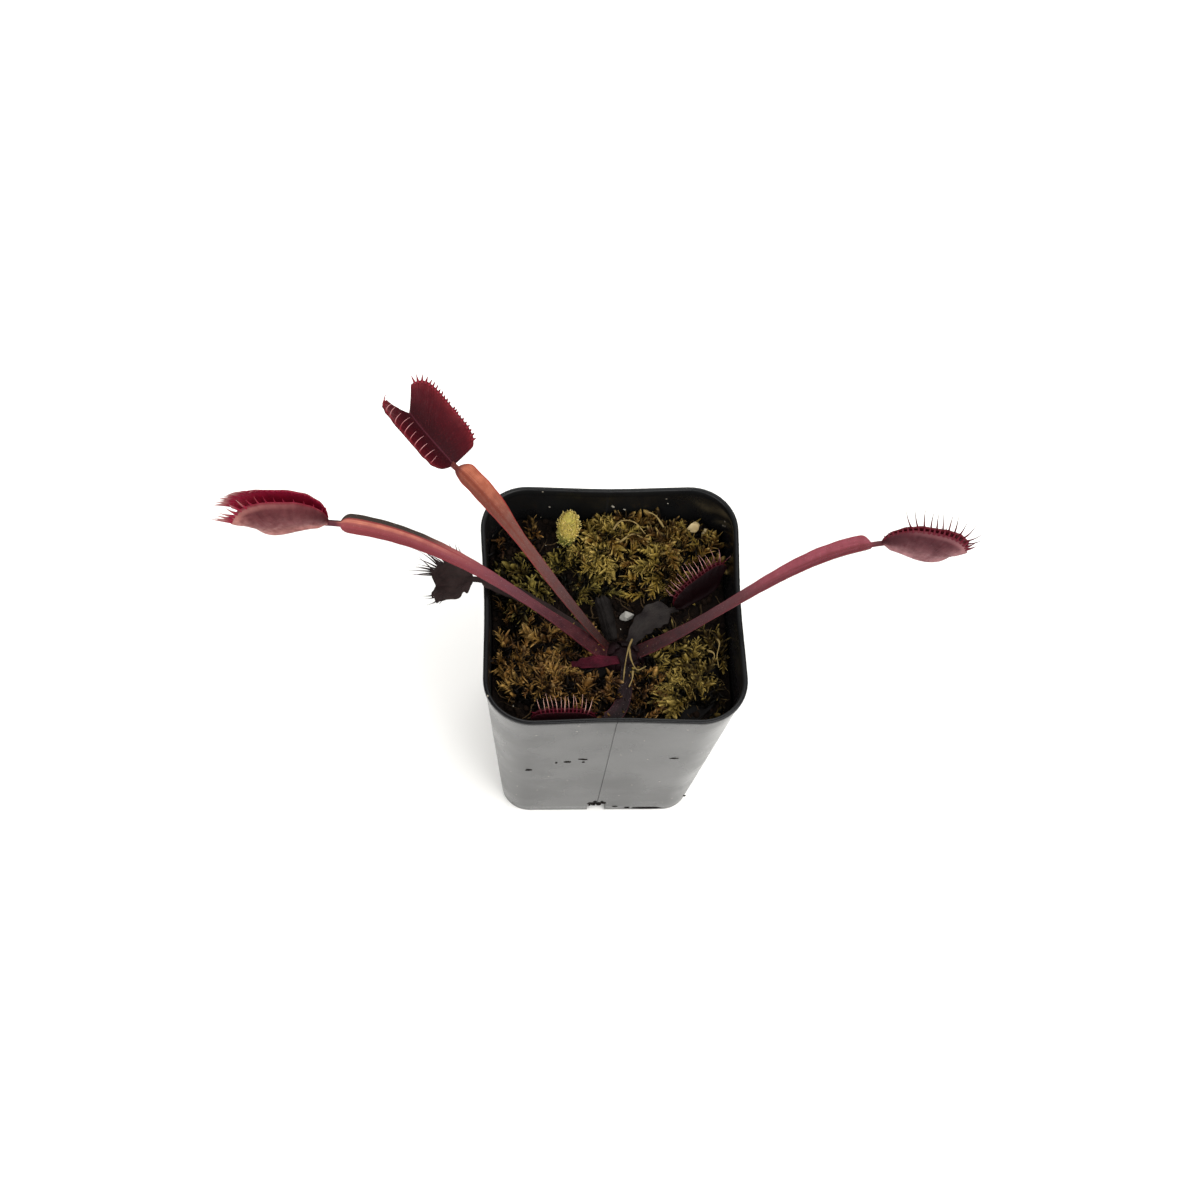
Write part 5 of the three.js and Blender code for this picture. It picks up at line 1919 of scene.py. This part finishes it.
def leaves() -> list[TrapLeaf]:
    """Returns the five living leaves, each with its stalk, its trap and their colours."""
    grown, living = CentreLine.grown, TrapLeaf.living
    return [
        living(
            "left",
            Stalk(grown((-1.2, -8.9, 66), (168, 162.6, 178.4), (44.3, 32, 3.9), 80), foot=4.2, waist=2.4,
                  waist_at=0.3, blade=4.7, blade_at=0.95, neck=2.6, vee=42, bank=-18, seed=1),
            Trap(179.5, 1.3, -12, 17, 9.5, 9, 52, 3, 2.1, 0.9, 172,
                 TeethRow(16, (1.0, 1.5, 4.4), (60, 60, -4), 0.22, 1.2, 0.6, 1.1, crowd=1.6),
                 TeethRow(24, (0.9, 1.2, 4.6), (50, 60, -4), 0.36, 0.6, 0.6, 1.1, crowd=1.5),
                 seed=31, notch=0.97, droop=(2.2, 0)),
            StalkFinish("left_stalk_skin", ("14080b", "381d22", "5c363d", "86404a", "94464a"),
                        edge="74202a", channel="7c3c3e", back="42202a", lit="c47c66", dim="743438",
                        lit_from=(0.48, 0.88), far_wing_tone_and_shade="37302c"),
            ("643236", "a26c66", "a87068", "740e22", "34050d", "8c1a34", "5c2632"), ("741228", "946c68"),
        ),
        living(
            "rear_left",
            Stalk(grown((-0.9, -6.8, 66), (171.2, 142.1, 153.1), (62.4, 45, 39.4), 66), foot=2.3,
                  waist=2.9, waist_at=0.6, blade=5.4, blade_at=0.86, neck=0.9, vee=30, seed=2),
            Trap(130.3, 11.2, -14.3, 16.2, 8.4, 62, 40, 0.4, 1.6, 0.5, 150,
                 TeethRow(12, (2.4, 3.8, 3.0), (110, 120, 90), 0.26, sweep=0.15),
                 TeethRow(22, (1.4, 1.5, 2.2), (60, 80, 20), 0.38, flare=1.1, crowd=1.1),
                 seed=32, notch=0.97, far_corner=0.36),
            StalkFinish("rear_left_stalk_skin", ("160b0d", "40302f", "543a3a", "6c4a42", "90503c"),
                        edge="882422", channel="642418", back="4c2020", lit="b46a50", dim="643830",
                        lit_from=(0.7, 0.9)),
            ("5c222c", "8c5458", "8c5054", "440912", "2a0309", "60161c", "4a1c26"), ("74202a", "c48c8c"),
        ),
        living(
            "right",
            Stalk(grown((7, -8, 66), (2.4, 17.1, 5.2), (41.1, 35.7, 3.6), 66.9), foot=3.6, waist=2.6,
                  waist_at=0.3, blade=4.8, blade_at=0.9, neck=2.2, vee=28, bank=-18, seed=3),
            Trap(-14, 8.1, 9.8, 15.4, 7.5, 3, 42, 2.9, 1.6, 1.2, 176,
                 TeethRow(12, (0.4, 5.4, 3.4), (-60, -90, -40), 0.25, 0, -0.1, 1.1, 0.32, crowd=1.2),
                 TeethRow(20, (0.5, 1.2, 2.8), (30, 60, 10), 0.4, flare=1, crowd=1.2),
                 seed=33, droop=(0, 0.8)),
            StalkFinish("right_stalk_skin", ("160c0c", "362325", "4e3033", "84434d", "7c3a41"),
                        edge="70202a", channel="60282c", back="4e2a2c", lit="84404a", dim="56242a",
                        sunny=Side.LEFT, lit_from=(0.45, 0.65)),
            ("562a30", "9c7072", "98686a", "56101c", "2c0810", "6c2028", "501c26"), ("561522", "3c2228"),
        ),
        living(
            "inner_right",
            Stalk(grown((4.9, -5.7, 65.6), (60, 36, 8), (24, 10, 6), 14), foot=2.8, waist=5.8,
                  waist_at=0.45, blade=6.8, blade_at=0.75, neck=1.2, vee=12, wave=0.35, ragged=0.09, seed=4),
            Trap(33, 13, 30, 12.4, 4.5, 4, 38, 1.4, 1.7, 0.8, 168,
                 TeethRow(12, (2.2, 2.8, 2.6), (14, 8, 8), 0.2, sweep=0.05),
                 TeethRow(14, (3.0, 4.4, 3.8), (50, 60, 50), 0.2, first=0.1, last=0.92), seed=34),
            DARK_BLADE,
            # Painted shade: the trap's colours are near black, as it lies in shade by the crown.
            ("0b0203", "0c0304", "120406", "2c060d", "0c0203", "4c101a", "1c080c"), ("3e0e17", "c08c88"),
            "dark_leaf",
        ),
        living(
            "front",
            Stalk(grown((3.6, -12, 65.4), (-96, -108, -176), (12, 2, 2), 19), foot=2.6, waist=3.4,
                  waist_at=0.4, blade=4, blade_at=0.8, neck=1.2, vee=15, seed=5),
            Trap(184, 9, -16, 12.6, 4.9, 4, 36, 1.3, 1.7, 0.8, 165,
                 TeethRow(13, (3.4, 4.4, 4.0), (50, 60, 50), 0.22, first=0.16, last=0.84),
                 TeethRow(10, (1.6, 2.2, 2.0), (30, 30, 20), 0.2, sweep=0.1), seed=35),
            # Painted shade: the stalk's and the trap's colours are near black, as they lie in shade among
            # the moss.
            StalkFinish("front_stalk_skin", ("0c0506", "100608", "14070a", "1c0a0e", "200c11"),
                        edge="3c121c", channel="0c0405", back="0c0506", lit="240c12", dim="0c0405"),
            ("180407", "1a0509", "20070b", "22060c", "0c0203", "4c101c", "1c080c"), ("4c121e", "d8a898"),
            "dark_leaf",
        ),
    ]


def dead_leaf() -> TrapLeaf:
    """Returns the dead leaf whose stalk climbs over the left rim, with its shrunken trap outside."""
    route = CentreLine.routed((
        (-0.4, -6.6, 64.6), (-9, -2, 68), (-17, 1.6, 71.5), (-25, 3.6, 75.6), (-31, 4.8, 78.6),
        (-34.4, 5.4, 78.4),
    ))
    stalk = Stalk(route, foot=2.2, waist=2.4, waist_at=0.4, blade=3.6, blade_at=0.75, neck=3, vee=10,
                  root=1.0, wave=0.3, ragged=0.06, seed=6)
    trap = Trap(176, -30, 6, 8.4, 6, 66, 24, 0.8, 1.5, 0.6, 150,
                TeethRow(4, (1.5, 2.2, 2.0), (30, 20, 20), 0.22, first=0.5),
                TeethRow(24, (2.6, 5.0, 4.8), (25, 18, 12), 0.26, sweep=0.3, flare=1.2, first=0.2),
                seed=91, notch=1.22, ragged=0.35, crumple=0.35)
    return TrapLeaf(
        stalk, trap, (DEAD_TISSUE, DEAD_TISSUE, ToothFinish("dead_teeth", "1c1212", "3a2a2a")),
        ("withered_stalk", "withered_trap", "withered_teeth"), ("dead_tissue", "dead_tissue"),
        ("dead_leaf", "dead_leaf"), tooth_sides=6, overlap=1.0,
    )


def moss() -> list[MossCushion]:
    """Returns the four cushions that are nodes and the four thin patches between them."""
    return [
        MossCushion("moss_rear", 10.5, 17.5, 16.5, 10.6, -4, 2.6, 220, 11, GOLDEN, reach=8.0),
        MossCushion("moss_left", -20.5, 10, 7, 6.2, 20, 2.2, 55, 18, OLIVE, "green_moss"),
        MossCushion("moss_front_left", -13.5, -13, 14, 9.6, 6, 2.8, 190, 25, UMBER),
        MossCushion("moss_front_right", 18, -14.5, 9.2, 11.5, 12, 2.8, 112, 32, LIME, reach=8.0),
        MossCushion("moss_middle", -5, 14, 9, 7, 10, 1.6, 74, 39, OLIVE, "green_moss", 6.5, 0.85, False),
        MossCushion("moss_corner", -22, 22, 6, 6, 0, 1.6, 22, 46, UMBER, "brown_moss", 5.0, 0.8, False),
        MossCushion("moss_fringe_left", -23, -1, 5, 6, 0, 1.6, 22, 53, UMBER, "brown_moss", 5.0, 0.8, False),
        MossCushion("moss_fringe_front", 4, -21, 6, 8, 0, 1.6, 62, 60, UMBER, "brown_moss", 6.5, 0.9, False),
    ]


def main() -> None:
    """Builds the plant, its pot and the studio, in order."""
    logging.basicConfig(level=logging.INFO, format="%(name)s: %(message)s")
    pot = Pot()
    pot.build()
    RootBall(pot).build()
    for cushion in moss():
        cushion.build(pot)
    SphagnumHead().build()
    Grain("bark_chip", BARK, 21.4, 25.6, (4.2, 2.8, 3.4), 0.4, 5).build()
    Grain("small_chip", BARK, 24.6, 25.0, (2.0, 1.6, 2.4), 1.4, 12, node=False).build()
    Grain("perlite_grain", PERLITE, 4.2, 1.3, (4.0, 3.2, 2.6), 0.6, 8).build()
    for leaf in [*leaves(), dead_leaf()]:
        leaf.build()
    young = Stalk(
        CentreLine.grown((0.3, -10.9, 66.8), (194, 188, 182), (16, 4, -6), 9.5), foot=2.2, waist=3.4,
        waist_at=0.45, blade=2.8, blade_at=0.7, neck=0.6, vee=24, root=1.5, seed=7,
    )
    finished(young.mesh("young_blade"), YOUNG_LEAF, "dark_leaf", "young_leaf")
    Crown().build()
    Stub().build()
    Fibres(pot).build()
    Studio().build()


if __name__ == "__main__":
    main()
